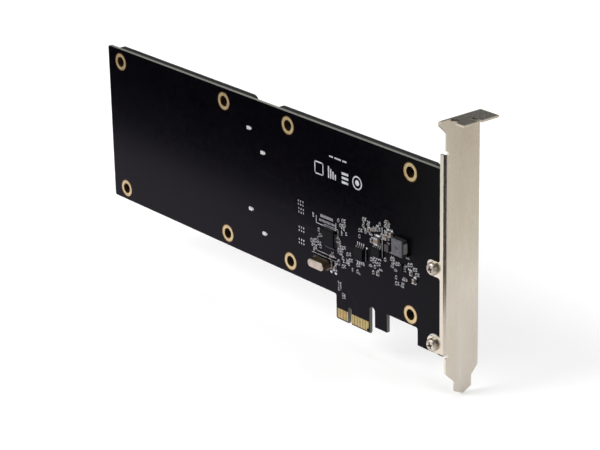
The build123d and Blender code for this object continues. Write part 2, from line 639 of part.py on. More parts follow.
def pin_places():
    """Middles of the 22 pins across the drive."""
    power_mid = sum(POWER_TONGUE) / 2
    data_mid = sum(DATA_TONGUE) / 2
    places = [power_mid + PLUG_PITCH * (step - (POWER_PINS - 1) / 2) for step in range(POWER_PINS)]
    places += [data_mid + PLUG_PITCH * (step - (DATA_PINS - 1) / 2) for step in range(DATA_PINS)]
    return [-PLUG_OFFSET + place for place in places]


def drive_plug():
    """Plastic plug at the drive's end: a back wall, two guide arms and the two blades."""
    low, high = plug_span()
    y_range = (PLUG_LIFT, LID_Y - PLUG_FIT)
    arm_range = (PLUG_ARM_START, PLUG_BACK[0])
    body = block(PLUG_BACK, y_range, (low, high))
    body += block(arm_range, y_range, (low, low + PLUG_ARM))
    body += block(arm_range, y_range, (high - PLUG_ARM, high))
    return body + tongue_pair()


def plug_contacts():
    """Flat pins laid along the lower face of the blades."""
    y_high = TONGUE_UP - TONGUE_T / 2
    x_range = (PLUG_BACK[0] - TONGUE_LENGTH + PIN_SHORTER, PLUG_BACK[0])
    return [pin_block(x_range, (y_high - PIN_T / 2, y_high), z) for z in pin_places()]


def pin_block(x_range, y_range, z):
    """One flat pin centred across at z."""
    return block(x_range, y_range, (z - PIN_WIDTH / 2, z + PIN_WIDTH / 2))


def socket_contact(z):
    """Bent pin: solder tail, riser up the socket's back and blade along the nose."""
    blade_high = TONGUE_UP - TONGUE_T / 2 - MATE_CLEARANCE
    back = -SOCKET_DEPTH
    tail = pin_block((back - SOCKET_TAIL, back + PIN_T), (0, PIN_T), z)
    riser = pin_block((back, back + PIN_T), (0, blade_high), z)
    blade_end = SOCKET_NOSE - SOCKET_PIN_SHORTER
    blade = pin_block((back, blade_end), (blade_high - PIN_T, blade_high), z)
    return tail + riser + blade


def socket_housing():
    """Board socket: a block between the drives with a nose that enters the drive's plug."""
    low = -PLUG_OFFSET - SOCKET_ACROSS / 2
    high = -PLUG_OFFSET + SOCKET_ACROSS / 2
    gap = MATE_CLEARANCE
    body = block((-SOCKET_DEPTH, -gap), (0, SOCKET_HEIGHT), (low, high))
    body = chamfer(body.edges().filter_by(Axis.Z).group_by(Axis.Y)[-1], SOCKET_BEVEL)
    nose_y = (PLUG_LIFT, LID_Y - SOCKET_NOSE_DROP)
    nose = block((-gap, SOCKET_NOSE), nose_y, plug_span(-PLUG_ARM - gap))
    body += chamfer(nose.edges().group_by(Axis.X)[-1], SOCKET_NOSE_BEVEL)
    body -= tongue_pair(gap, PLUG_BACK[0])
    contacts = [socket_contact(z) for z in pin_places()]
    body -= contacts
    for way in (-1, 1):
        body -= socket_peg(way)
    return body, contacts


def socket_peg(way):
    """Metal peg from a pocket in the socket down through the board, past its near face."""
    z = -PLUG_OFFSET + way * PEG_SPREAD / 2
    x_range = (-PEG_IN - PEG_SIZE[0] / 2, -PEG_IN + PEG_SIZE[0] / 2)
    y_low = -PAD_T - BOARD_T - PEG_STAND
    return block(x_range, (y_low, PEG_ROOT), (z - PEG_SIZE[1] / 2, z + PEG_SIZE[1] / 2))


def gull_lead(reach, height, width):
    """Bent lead that leaves a chip body at x = 0 and stands on y = 0 at x = reach."""
    shoulder = reach * LEAD_SHOULDER_SHARE
    foot = reach * LEAD_FOOT_SHARE
    rise = height - LEAD_T
    corners = [
        (0, rise), (shoulder, rise), (foot, 0), (reach, 0),
        (reach, LEAD_T), (foot + LEAD_T, LEAD_T), (shoulder + LEAD_T, height), (0, height),
    ]
    return extrude(outline_of(corners), amount=width / 2, both=True)


def lead_row(centre, turn, body_half, span_half, height, pitch, count, width):
    """A row of leads on one side of a chip, turned about the chip's middle."""
    x, z = centre
    lead = gull_lead(span_half - body_half, height, width)
    place = Location((x, NEAR_Y, z)) * Location((0, 0, 0), (0, turn, 0))
    row = []
    for step in range(count):
        across = pitch * (step - (count - 1) / 2)
        row.append(place * Location((body_half, 0, across)) * Rot(180, 0, 0) * lead)
    return row


def chip_body(centre, size, height):
    """Moulded chip body with slightly bevelled top edges, just clear of the board."""
    x, z = centre
    y_low = NEAR_Y - height
    body = slab(Pos(x, z) * Rectangle(*size), y_low, height - BODY_LIFT)
    return chamfer(body.edges().group_by(Axis.Y)[0], BODY_BEVEL)


def controller_leads():
    """Four rows of fine leads round the controller."""
    leads = []
    for turn in (0, 90, 180, 270):
        leads += lead_row(
            CONTROLLER_AT, turn, CONTROLLER_BODY / 2, CONTROLLER_SPAN / 2, CONTROLLER_T / 2,
            CONTROLLER_PITCH, CONTROLLER_LEAD_COUNT, FINE_LEAD_WIDTH,
        )
    return leads


def two_row_leads(centre, body_across, span, height, pitch, count, turns=(90, 270)):
    """Leads along two opposite sides of a chip, upper and lower unless turned."""
    halves = (body_across / 2, span / 2, height / 2)
    leads = []
    for turn in turns:
        leads += lead_row(centre, turn, *halves, pitch, count, WIDE_LEAD_WIDTH)
    return leads


def crystal_can():
    """Drawn metal can with a rounded top edge, on its base flange."""
    length, across, height = CRYSTAL_CAN
    x, z = CRYSTAL_AT
    base_y = NEAR_Y - CRYSTAL_FLANGE[2]
    can = slab(Pos(x, z) * SlotOverall(length, across), base_y - height, height)
    return fillet(can.edges().group_by(Axis.Y)[0], CRYSTAL_CAN_ROUNDING)


def crystal_base():
    """Flat flange that closes the can and lies on the board."""
    length, across, height = CRYSTAL_FLANGE
    x, z = CRYSTAL_AT
    return slab(Pos(x, z) * SlotOverall(length, across), NEAR_Y - height, height)


def power_inductor():
    """Pressed powder block with bevelled top edges, held up by its terminals."""
    across, upright, height = INDUCTOR_BODY
    x, z = INDUCTOR_AT
    body = slab(Pos(x, z) * Rectangle(across, upright), NEAR_Y - height, height - TERMINAL_T)
    return chamfer(body.edges().group_by(Axis.Y)[0], INDUCTOR_CHAMFER)


def inductor_terminals():
    """Two flat terminals, bent up against the block's ends."""
    across = INDUCTOR_BODY[0]
    x, z = INDUCTOR_AT
    z_range = (z - TERMINAL_WIDTH / 2, z + TERMINAL_WIDTH / 2)
    terminals = []
    for way in (-1, 1):
        end = x + way * across / 2
        outside = end + way * TERMINAL_T
        foot_x = sorted((end - way * TERMINAL_FOOT, outside))
        foot = block(foot_x, (NEAR_Y - TERMINAL_T, NEAR_Y), z_range)
        side = block(sorted((end, outside)), (NEAR_Y - TERMINAL_UP, NEAR_Y), z_range)
        terminals.append(foot + side)
    return terminals


def power_diode():
    """Moulded two lead diode body, standing upright on the board."""
    across, upright, height = DIODE_BODY
    return chip_body(DIODE_AT, (across, upright), height)


def diode_terminals():
    """Flat terminals under and beyond the diode's two ends."""
    x, z = DIODE_AT
    half = DIODE_BODY[1] / 2
    x_range = (x - DIODE_FOOT_WIDTH / 2, x + DIODE_FOOT_WIDTH / 2)
    terminals = []
    for way in (-1, 1):
        z_range = sorted((z + way * (half - DIODE_FOOT_UNDER), z + way * (half + DIODE_FOOT_BEYOND)))
        terminals.append(block(x_range, (NEAR_Y - BODY_LIFT, NEAR_Y), z_range))
    return terminals


def chip_part(place, size):
    """Two terminal chip part: the body and its two metal ends, as separate solids."""
    x, z, upright = place
    length, width, height = size
    y_low = NEAR_Y - height
    cap = CHIP_END_SHARE * length
    core = slab(Rectangle(length - 2 * cap, width), y_low, height)
    shift = (length - cap) / 2
    ends = [slab(Pos(way * shift, 0) * Rectangle(cap, width), y_low, height) for way in (-1, 1)]
    where = Location((x, 0, z), (0, 90 if upright else 0, 0))
    return where * core, [where * end for end in ends]


def chip_group(groups):
    """Bodies and ends of every chip part in a list of (places, size)."""
    bodies, ends = [], []
    for places, size in groups:
        for place in places:
            body, caps = chip_part(place, size)
            bodies.append(body)
            ends += caps
    return bodies, ends


def save(name, shape):
    """Write one node, a single solid or a group of separate solids."""
    pieces = shape if isinstance(shape, list) else [shape]
    solids = [solid for piece in pieces for solid in piece.solids()]
    node = solids[0] if len(solids) == 1 else Compound(solids)
    export_step(node, f"parts/{name}.step")


def save_board_parts():
    """The board, its plating and the bracket with its fasteners."""
    save("circuit_board", circuit_board())
    save("drive_hole_rings", [plated_ring(x, z) for x, z in drive_hole_points()])
    last = SHORT_CONTACTS + LONG_CONTACTS - 1
    save("edge_contacts_near", edge_contacts(NEAR_PAD_Y, last))
    save("edge_contacts_far", edge_contacts(FAR_Y, 1))
    save("bracket_hole_pads", bracket_hole_pads())
    save("slot_bracket", slot_bracket())
    save("bracket_screws", [bracket_screw(z) for z in LUG_SCREW_Z])
    save("bracket_nuts", [bracket_nut(z) for z in LUG_SCREW_Z])


def save_drives():
    """Both drives with their sockets, from one drawing placed twice."""
    housing, contacts = socket_housing()
    pieces = {
        "socket_housing": housing,
        "socket_contacts": contacts,
        "socket_pegs": [socket_peg(way) for way in (-1, 1)],
        "drive_base": drive_base(),
        "drive_cover": drive_cover(),
        "drive_case_screws": [case_screw(x, z) for x, z in drive_post_points()],
        "drive_inner_board": drive_inner_board(),
        "drive_flash_chips": drive_flash_chips(),
        "drive_controller": drive_controller(),
        "drive_plug": drive_plug(),
        "drive_plug_contacts": plug_contacts(),
    }
    for side, place in DRIVE_PLACES.items():
        for name, shape in pieces.items():
            parts = shape if isinstance(shape, list) else [shape]
            save(f"{side}_{name}", [place * part for part in parts])


def save_near_face_parts():
    """Everything soldered to the near face."""
    save("controller_chip", chip_body(CONTROLLER_AT, (CONTROLLER_BODY, CONTROLLER_BODY), CONTROLLER_T))
    save("controller_leads", controller_leads())
    save("memory_chip", chip_body(MEMORY_AT, MEMORY_BODY, MEMORY_T))
    save("memory_leads", two_row_leads(
        MEMORY_AT, MEMORY_BODY[1], MEMORY_SPAN, MEMORY_T, WIDE_PITCH, ROW_LEAD_COUNT))
    save("regulator_chip", chip_body(REGULATOR_AT, REGULATOR_BODY, REGULATOR_T))
    save("regulator_leads", two_row_leads(
        REGULATOR_AT, REGULATOR_BODY[1], REGULATOR_SPAN, REGULATOR_T, WIDE_PITCH, ROW_LEAD_COUNT))
    save("switch_chip", chip_body(SMALL_IC_AT, SMALL_IC_BODY, SMALL_IC_T))
    save("switch_leads", two_row_leads(
        SMALL_IC_AT, SMALL_IC_BODY[0], SMALL_IC_SPAN, SMALL_IC_T, SMALL_IC_PITCH,
        SMALL_IC_LEAD_COUNT, (0, 180)))
    save("crystal_can", crystal_can())
    save("crystal_base", crystal_base())
    save("power_inductor", power_inductor())
    save("inductor_terminals", inductor_terminals())
    save("power_diode", power_diode())
    save("diode_terminals", diode_terminals())
    bodies, ends = chip_group([
        (BULK_CAPACITORS, BULK_CAPACITOR), (LARGE_CAPACITORS, LARGE_CHIP),
        (MEDIUM_CAPACITORS, MEDIUM_CHIP), (SMALL_CAPACITORS, SMALL_CHIP),
    ])
    save("capacitor_bodies", bodies)
    save("capacitor_ends", ends)
    bodies, ends = chip_group([(MEDIUM_RESISTORS, MEDIUM_CHIP), (SMALL_RESISTORS, SMALL_CHIP)])
    save("resistor_bodies", bodies)
    save("resistor_ends", ends)


os.makedirs("parts", exist_ok=True)
save_board_parts()
save_drives()
save_near_face_parts()
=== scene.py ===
"""Looks of an expansion card that carries two slim drives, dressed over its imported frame.

Sizes in the classes are millimetres in the card's own frame: X runs along the contact edge to
the slot bracket, Z runs up the card and -Y points out of the component side.
"""
import logging
import math
from dataclasses import dataclass, field
from enum import Enum
from typing import Iterable, Optional, Sequence

import bmesh
import bpy
from mathutils import Matrix, Vector


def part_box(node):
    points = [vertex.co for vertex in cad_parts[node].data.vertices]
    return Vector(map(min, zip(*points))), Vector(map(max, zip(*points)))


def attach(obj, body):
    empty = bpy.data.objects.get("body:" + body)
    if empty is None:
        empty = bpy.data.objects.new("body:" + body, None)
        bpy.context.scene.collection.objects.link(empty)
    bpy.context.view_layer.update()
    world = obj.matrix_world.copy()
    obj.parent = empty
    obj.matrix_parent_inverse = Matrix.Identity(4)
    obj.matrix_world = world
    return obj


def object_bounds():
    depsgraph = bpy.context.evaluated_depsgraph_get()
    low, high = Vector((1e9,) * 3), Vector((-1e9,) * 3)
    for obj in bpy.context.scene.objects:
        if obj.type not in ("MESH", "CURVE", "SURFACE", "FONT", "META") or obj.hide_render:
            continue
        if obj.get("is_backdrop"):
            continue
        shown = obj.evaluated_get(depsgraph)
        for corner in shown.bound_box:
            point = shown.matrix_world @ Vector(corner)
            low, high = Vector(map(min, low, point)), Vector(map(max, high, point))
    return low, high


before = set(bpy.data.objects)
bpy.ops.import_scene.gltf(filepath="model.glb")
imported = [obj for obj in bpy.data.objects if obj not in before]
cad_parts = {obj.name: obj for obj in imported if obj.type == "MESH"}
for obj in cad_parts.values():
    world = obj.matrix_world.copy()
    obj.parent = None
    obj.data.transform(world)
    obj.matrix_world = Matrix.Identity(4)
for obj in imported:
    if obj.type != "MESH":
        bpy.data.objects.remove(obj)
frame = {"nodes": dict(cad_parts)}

LOG = logging.getLogger("expansion_card")
MM = 0.001
# The standard screen curve: where its straight start ends, that part's slope, the offset, the power.
SCREEN_CURVE = (0.04045, 12.92, 0.055, 2.4)
FULL = 255
# How squarely a surface looks along Y when it counts as one of the board's faces.
FACE_LIMIT = 0.5
# Length of one wave of the wave texture at a scale of 1.
WAVE_LENGTH = 0.314

Colour = tuple[float, float, float]
Point = tuple[float, float]
Range = tuple[float, float]
Place = tuple[float, float, float]
Row = tuple[float, float, int]


def paint(red: int, green: int, blue: int) -> Colour:
    """Turn a colour seen on a screen into the linear values that a shader takes.

    Args:
        red: Red from 0 to 255.
        green: Green from 0 to 255.
        blue: Blue from 0 to 255.

    Returns:
        The linear colour.
    """
    straight_end, slope, offset, power = SCREEN_CURVE
    return tuple(
        share / slope if share <= straight_end else ((share + offset) / (1 + offset)) ** power
        for share in (red / FULL, green / FULL, blue / FULL)
    )


class Slot(Enum):
    """Material slots of the record that a piece can take its finish from."""

    BOARD = "board_black"
    RING = "gold_plating"
    CONTACT = "contact_gold"
    TIN = "tin_plating"
    BRACKET = "bracket_nickel"
    FASTENER = "fastener_steel"
    SOCKET = "socket_plastic"
    SPRING = "spring_contact"
    PEG = "peg_metal"
    CASE = "drive_case"
    LID = "drive_lid"
    CASE_SCREW = "case_screw_black"
    INNER_BOARD = "drive_board_green"
    CHIP = "chip_black"
    LEAD = "chip_leads"
    CRYSTAL = "crystal_metal"
    INDUCTOR = "inductor_powder"
    DIODE = "diode_mould"
    CAPACITOR = "capacitor_tan"
    RESISTOR = "resistor_black"


class Grain(Enum):
    """Direction in which a finish's fine grain is drawn out, as shares along X, Y and Z."""

    EVEN = (1.0, 1.0, 1.0)
    ALONG_CARD = (0.04, 1.0, 1.0)
    UP_CARD = (1.0, 1.0, 0.03)


class Effect(Enum):
    """Shader groups that several finishes share."""

    TONES = "two_tone_drift"
    GRAIN = "drawn_grain"
    HAIRLINES = "hairline_scratches"
    SPECKS = "scattered_specks"
    SIDES = "surface_direction"


class Wiring:
    """Adds nodes to one shader tree and joins their sockets.

    For each kind of mix, the sockets are its two inputs and its result.
    """

    node_pitch: tuple[int, int] = (190, -160)
    node_rows: int = 3
    mix_sockets: dict[str, tuple[int, int, int]] = {"RGBA": (6, 7, 2), "FLOAT": (2, 3, 0)}

    def __init__(self, tree: bpy.types.NodeTree) -> None:
        """Keep the tree and start at its left."""
        self.tree = tree
        self.count = 0

    @classmethod
    def fresh(cls, owner: bpy.types.ID) -> "Wiring":
        """Empty the shader tree of a material or a world and start on it.

        Args:
            owner: The material or the world.

        Returns:
            The wiring of its tree.
        """
        owner.use_nodes = True
        owner.node_tree.nodes.clear()
        return cls(owner.node_tree)

    def add(self, kind: str, **settings: object) -> bpy.types.Node:
        """Add one shader node.

        Args:
            kind: The node's type, without the words that all shader nodes share.
            settings: Properties to set on the node.

        Returns:
            The new node.
        """
        node = self.tree.nodes.new("ShaderNode" + kind)
        right, down = self.node_pitch
        node.location = (self.count * right, (self.count % self.node_rows) * down)
        self.count += 1
        for name, value in settings.items():
            setattr(node, name, value)
        return node

    def feed(self, socket: bpy.types.NodeSocket, value: object) -> None:
        """Join a socket to another one, or set its value.

        Args:
            socket: The input to fill.
            value: An output socket, a number or a colour.
        """
        if isinstance(value, bpy.types.NodeSocket):
            self.tree.links.new(value, socket)
        elif isinstance(value, tuple) and socket.type == "RGBA" and len(value) == 3:
            socket.default_value = (*value, 1.0)
        else:
            socket.default_value = value

    def surface(self, shader: bpy.types.NodeSocket, kind: str = "OutputMaterial") -> None:
        """Lead the finished shader to the tree's output."""
        self.feed(self.add(kind).inputs["Surface"], shader)

    def maths(self, operation: str, first: object, second: object = 0.0) -> bpy.types.NodeSocket:
        """Work out one sum.

        Args:
            operation: Name of the sum.
            first: A socket or a number.
            second: A socket or a number.

        Returns:
            The socket with the result.
        """
        node = self.add("Math", operation=operation)
        self.feed(node.inputs[0], first)
        self.feed(node.inputs[1], second)
        return node.outputs[0]

    def remap(self, value: object, old: Range, new: tuple[object, object]) -> bpy.types.NodeSocket:
        """Stretch a value from one range onto another, held at its ends.

        Args:
            value: The socket to stretch.
            old: Lowest and highest incoming value.
            new: Lowest and highest outgoing value, as numbers or sockets.

        Returns:
            The socket with the result.
        """
        node = self.add("MapRange", clamp=True)
        for index, item in enumerate((value, *old, *new)):
            self.feed(node.inputs[index], item)
        return node.outputs[0]

    def blend(
        self, share: object, first: object, second: object, kind: str = "RGBA"
    ) -> bpy.types.NodeSocket:
        """Mix two colours or two numbers.

        Args:
            share: How much of the second one shows, from 0 to 1.
            first: The one under the mask, or its socket.
            second: The one over the mask, or its socket.
            kind: RGBA for colours and FLOAT for numbers.

        Returns:
            The mixed one.
        """
        node = self.add("Mix", data_type=kind)
        under, over, result = self.mix_sockets[kind]
        for index, item in ((0, share), (under, first), (over, second)):
            self.feed(node.inputs[index], item)
        return node.outputs[result]

    def place(self) -> bpy.types.NodeSocket:
        """Give the point on the piece, in metres."""
        return self.add("TexCoord").outputs["Object"]

    def noise(self, scale: object, detail: float = 2.0, draw: object = None) -> bpy.types.Node:
        """Add a noise that is fixed to the piece.

        Args:
            scale: How fine it is, per metre.
            detail: How many finer layers lie in it.
            draw: Shares along X, Y and Z that draw it out; without them it is even.

        Returns:
            The noise node.
        """
        point = self.place()
        if draw is not None:
            stretch = self.add("VectorMath", operation="MULTIPLY")
            self.feed(stretch.inputs[0], point)
            self.feed(stretch.inputs[1], draw)
            point = stretch.outputs[0]
        node = self.add("TexNoise")
        for name, value in (("Vector", point), ("Scale", scale), ("Detail", detail)):
            self.feed(node.inputs[name], value)
        return node

    def effect(self, which: Effect, **values: object) -> bpy.types.Node:
        """Place a shared effect.

        Args:
            which: The shared group.
            values: Its inputs.

        Returns:
            The placed group node.
        """
        node = self.add("Group")
        node.node_tree = EffectShelf.fetch(which)
        for name, value in values.items():
            self.feed(node.inputs[name], value)
        return node


class EffectShelf:
    """Builds each shared effect once and hands it out by name."""

    broad_range: Range = (0.35, 0.65)
    broad_share: float = 0.75
    broad_detail: float = 3.0
    fine_range: Range = (0.3, 0.7)
    fine_share: float = 0.25
    grain_range: Range = (0.3, 0.7)
    grain_detail: float = 4.0
    grain_roughness: float = 0.6
    line_range: Range = (0.62, 0.72)
    line_detail: float = 1.0
    gap_range: Range = (0.5, 0.62)
    gap_scale: float = 170.0

    @classmethod
    def fetch(cls, which: Effect) -> bpy.types.NodeTree:
        """Hand out a shared effect, built at its first use.

        Args:
            which: The effect.

        Returns:
            Its node group.
        """
        found = bpy.data.node_groups.get(which.value)
        if found is not None:
            return found
        makers = {
            Effect.TONES: cls.two_tones,
            Effect.GRAIN: cls.drawn_grain,
            Effect.HAIRLINES: cls.hairlines,
            Effect.SPECKS: cls.specks,
            Effect.SIDES: cls.sides,
        }
        return makers[which]()

    @staticmethod
    def start(
        which: Effect, takes: dict[str, str], gives: dict[str, str]
    ) -> tuple[Wiring, bpy.types.Node, bpy.types.Node]:
        """Make an empty group with its sockets.

        Args:
            which: The effect that the group holds.
            takes: Input names with their socket types.
            gives: Output names with their socket types.

        Returns:
            The group's wiring, its input node and its output node.
        """
        tree = bpy.data.node_groups.new(which.value, "ShaderNodeTree")
        for way, sockets in (("INPUT", takes), ("OUTPUT", gives)):
            for name, kind in sockets.items():
                tree.interface.new_socket(name, in_out=way, socket_type="NodeSocket" + kind)
        return Wiring(tree), tree.nodes.new("NodeGroupInput"), tree.nodes.new("NodeGroupOutput")

    @classmethod
    def two_tones(cls) -> bpy.types.NodeTree:
        """Drift slowly between two colours, with a finer drift laid over it."""
        wiring, source, target = cls.start(
            Effect.TONES,
            {"First": "Color", "Second": "Color", "Patches": "Float", "Fineness": "Float"},
            {"Colour": "Color"},
        )
        broad = wiring.noise(source.outputs["Patches"], cls.broad_detail)
        fine = wiring.noise(source.outputs["Fineness"])
        share = wiring.maths(
            "ADD",
            wiring.remap(broad.outputs[0], cls.broad_range, (0.0, cls.broad_share)),
            wiring.remap(fine.outputs[0], cls.fine_range, (0.0, cls.fine_share)),
        )
        colour = wiring.blend(share, source.outputs["First"], source.outputs["Second"])
        wiring.feed(target.inputs["Colour"], colour)
        return wiring.tree

    @classmethod
    def drawn_grain(cls) -> bpy.types.NodeTree:
        """Fine grain, even or drawn out one way, as a height and as a roughness."""
        wiring, source, target = cls.start(
            Effect.GRAIN,
            {"Fineness": "Float", "Draw": "Vector", "Smoothest": "Float", "Roughest": "Float"},
            {"Height": "Float", "Roughness": "Float"},
        )
        grain = wiring.noise(source.outputs["Fineness"], cls.grain_detail, source.outputs["Draw"])
        wiring.feed(grain.inputs["Roughness"], cls.grain_roughness)
        limits = (source.outputs["Smoothest"], source.outputs["Roughest"])
        wiring.feed(target.inputs["Height"], grain.outputs[0])
        wiring.feed(target.inputs["Roughness"], wiring.remap(grain.outputs[0], cls.grain_range, limits))
        return wiring.tree

    @classmethod
    def hairlines(cls) -> bpy.types.NodeTree:
        """Thin broken scratches that run one way."""
        wiring, source, target = cls.start(
            Effect.HAIRLINES,
            {"Fineness": "Float", "Draw": "Vector", "Amount": "Float"},
            {"Mask": "Float"},
        )
        lines = wiring.noise(source.outputs["Fineness"], cls.line_detail, source.outputs["Draw"])
        gaps = wiring.noise(cls.gap_scale)
        line_share = wiring.remap(lines.outputs[0], cls.line_range, (0.0, 1.0))
        gap_share = wiring.remap(gaps.outputs[0], cls.gap_range, (0.0, source.outputs["Amount"]))
        wiring.feed(target.inputs["Mask"], wiring.maths("MULTIPLY", line_share, gap_share))
        return wiring.tree

    @classmethod
    def specks(cls) -> bpy.types.NodeTree:
        """Small round specks scattered over a surface, such as dust or filler grains."""
        wiring, source, target = cls.start(
            Effect.SPECKS,
            {"Fineness": "Float", "Size": "Float", "Amount": "Float"},
            {"Mask": "Float"},
        )
        cells = wiring.add("TexVoronoi")
        wiring.feed(cells.inputs["Vector"], wiring.place())
        wiring.feed(cells.inputs["Scale"], source.outputs["Fineness"])
        near = wiring.maths("LESS_THAN", cells.outputs["Distance"], source.outputs["Size"])
        split = wiring.add("SeparateColor")
        wiring.feed(split.inputs[0], cells.outputs["Color"])
        kept = wiring.maths("LESS_THAN", split.outputs[0], source.outputs["Amount"])
        wiring.feed(target.inputs["Mask"], wiring.maths("MULTIPLY", near, kept))
        return wiring.tree

    @classmethod
    def sides(cls) -> bpy.types.NodeTree:
        """Mask of the surfaces that lie in the board's plane."""
        wiring, source, target = cls.start(Effect.SIDES, {"Limit": "Float"}, {"Flat": "Float"})
        split = wiring.add("SeparateXYZ")
        wiring.feed(split.inputs[0], wiring.add("NewGeometry").outputs["Normal"])
        facing = wiring.maths("ABSOLUTE", split.outputs[1])
        wiring.feed(target.inputs["Flat"], wiring.maths("GREATER_THAN", facing, source.outputs["Limit"]))
        return wiring.tree


@dataclass(frozen=True)
class Finish:
    """A surface finish: its two tones, its gloss and its grain.

    Sizes of patches, grain and scratches, the grain's depth and the specks' pitch are millimetres.
    The finer drift's patches are counted in grains, and a speck's size is a share of the pitch.
    """

    name: str
    slot: Optional[Slot]
    tone: Colour
    second: Colour
    metallic: float = 0.0
    gloss: Range = (0.35, 0.5)
    patch: float = 20.0
    fine_patch: float = 4.0
    grain: Grain = Grain.EVEN
    grain_size: float = 0.4
    grain_depth: float = 0.004
    bump: float = 0.6
    specular: float = 0.5
    scratches: float = 0.0
    scratch_tone: Colour = (0.6, 0.6, 0.6)
    scratch_size: float = 0.5
    specks: float = 0.0
    speck_tone: Colour = (0.5, 0.5, 0.5)
    speck_pitch: float = 0.9
    speck_size: float = 0.16

    def dress(self, wiring: Wiring, colour: bpy.types.NodeSocket) -> bpy.types.NodeSocket:
        """Lay marks of its own over the drifting tones; a plain finish has none."""
        return colour

    def material(self) -> bpy.types.Material:
        """Build the finish as a material, or hand out the one that is there.

        Returns:
            The material.
        """
        found = bpy.data.materials.get(self.name)
        if found is not None:
            return found
        made = bpy.data.materials.new(self.name)
        wiring = Wiring.fresh(made)
        shader = wiring.add("BsdfPrincipled")
        wiring.feed(shader.inputs["Metallic"], self.metallic)
        wiring.feed(shader.inputs["Specular IOR Level"], self.specular)
        tones = wiring.effect(
            Effect.TONES, First=self.tone, Second=self.second, Patches=1 / (self.patch * MM),
            Fineness=1 / (self.grain_size * self.fine_patch * MM),
        )
        colour = tones.outputs["Colour"]
        if self.scratches:
            lines = wiring.effect(
                Effect.HAIRLINES, Fineness=1 / (self.scratch_size * MM), Draw=self.grain.value,
                Amount=self.scratches,
            )
            colour = wiring.blend(lines.outputs["Mask"], colour, self.scratch_tone)
        if self.specks:
            dots = wiring.effect(
                Effect.SPECKS, Fineness=1 / (self.speck_pitch * MM), Size=self.speck_size,
                Amount=self.specks,
            )
            colour = wiring.blend(dots.outputs["Mask"], colour, self.speck_tone)
        wiring.feed(shader.inputs["Base Color"], self.dress(wiring, colour))
        grain = wiring.effect(
            Effect.GRAIN, Fineness=1 / (self.grain_size * MM), Draw=self.grain.value,
            Smoothest=self.gloss[0], Roughest=self.gloss[1],
        )
        wiring.feed(shader.inputs["Roughness"], grain.outputs["Roughness"])
        bump = wiring.add("Bump")
        wiring.feed(bump.inputs["Strength"], self.bump)
        wiring.feed(bump.inputs["Distance"], self.grain_depth * MM)
        wiring.feed(bump.inputs["Height"], grain.outputs["Height"])
        wiring.feed(shader.inputs["Normal"], bump.outputs[0])
        wiring.surface(shader.outputs[0])
        return made


@dataclass(frozen=True)
class Walled(Finish):
    """A finish with another tone on side walls and in holes: painted shade, unless a subclass gives the
    walls their own colour.
    """

    # The default wall tone is brown painted shade inside the plated rings' holes.
    wall: Colour = paint(122, 88, 54)

    def wall_colour(self, wiring: Wiring) -> object:
        """Give the walls' tone, which is an even one here."""
        return self.wall

    def dress(self, wiring: Wiring, colour: bpy.types.NodeSocket) -> bpy.types.NodeSocket:
        """Lay the walls' tone, painted shade or the walls' own colour, where the surface isn't one of the
        two faces.

        Args:
            wiring: The material's wiring.
            colour: The face's drifting colour.

        Returns:
            The colour with the walls laid over it.
        """
        sides = wiring.effect(Effect.SIDES, Limit=FACE_LIMIT)
        return wiring.blend(sides.outputs["Flat"], self.wall_colour(wiring), colour)


@dataclass(frozen=True)
class MaskedBoard(Walled):
    """Solder mask on the board's faces, with bare layered laminate on its cut edges."""

    wall: Colour = paint(146, 144, 138)
    wall_dark: Colour = paint(92, 91, 84)
    layer: float = 0.2
    waviness: float = 1.5

    def wall_colour(self, wiring: Wiring) -> object:
        """Draw the laminate's layers.

        Args:
            wiring: The material's wiring.

        Returns:
            The layers' colour.
        """
        layers = wiring.add("TexWave", bands_direction="Y")
        wiring.feed(layers.inputs["Vector"], wiring.place())
        wiring.feed(layers.inputs["Scale"], WAVE_LENGTH / (self.layer * MM))
        wiring.feed(layers.inputs["Distortion"], self.waviness)
        return wiring.blend(layers.outputs[1], self.wall_dark, self.wall)


@dataclass(frozen=True)
class Clouded(Finish):
    """A finish with soft patches of a third tone, such as rolling bands or worn places.

    The patches' size is millimetres, and their draw has shares along X, Y and Z.
    """

    cloud: Colour = (0.5, 0.5, 0.5)
    cloud_size: float = 5.0
    cloud_draw: Place = (1.0, 1.0, 1.0)
    cloud_range: Range = (0.45, 0.7)
    cloud_share: float = 0.4

    def dress(self, wiring: Wiring, colour: bpy.types.NodeSocket) -> bpy.types.NodeSocket:
        """Lay the patches over the drifting tones.

        Args:
            wiring: The material's wiring.
            colour: The drifting colour.

        Returns:
            The colour with the patches laid over it.
        """
        clouds = wiring.noise(1 / (self.cloud_size * MM), draw=self.cloud_draw)
        share = wiring.remap(clouds.outputs[0], self.cloud_range, (0.0, self.cloud_share))
        return wiring.blend(share, colour, self.cloud)


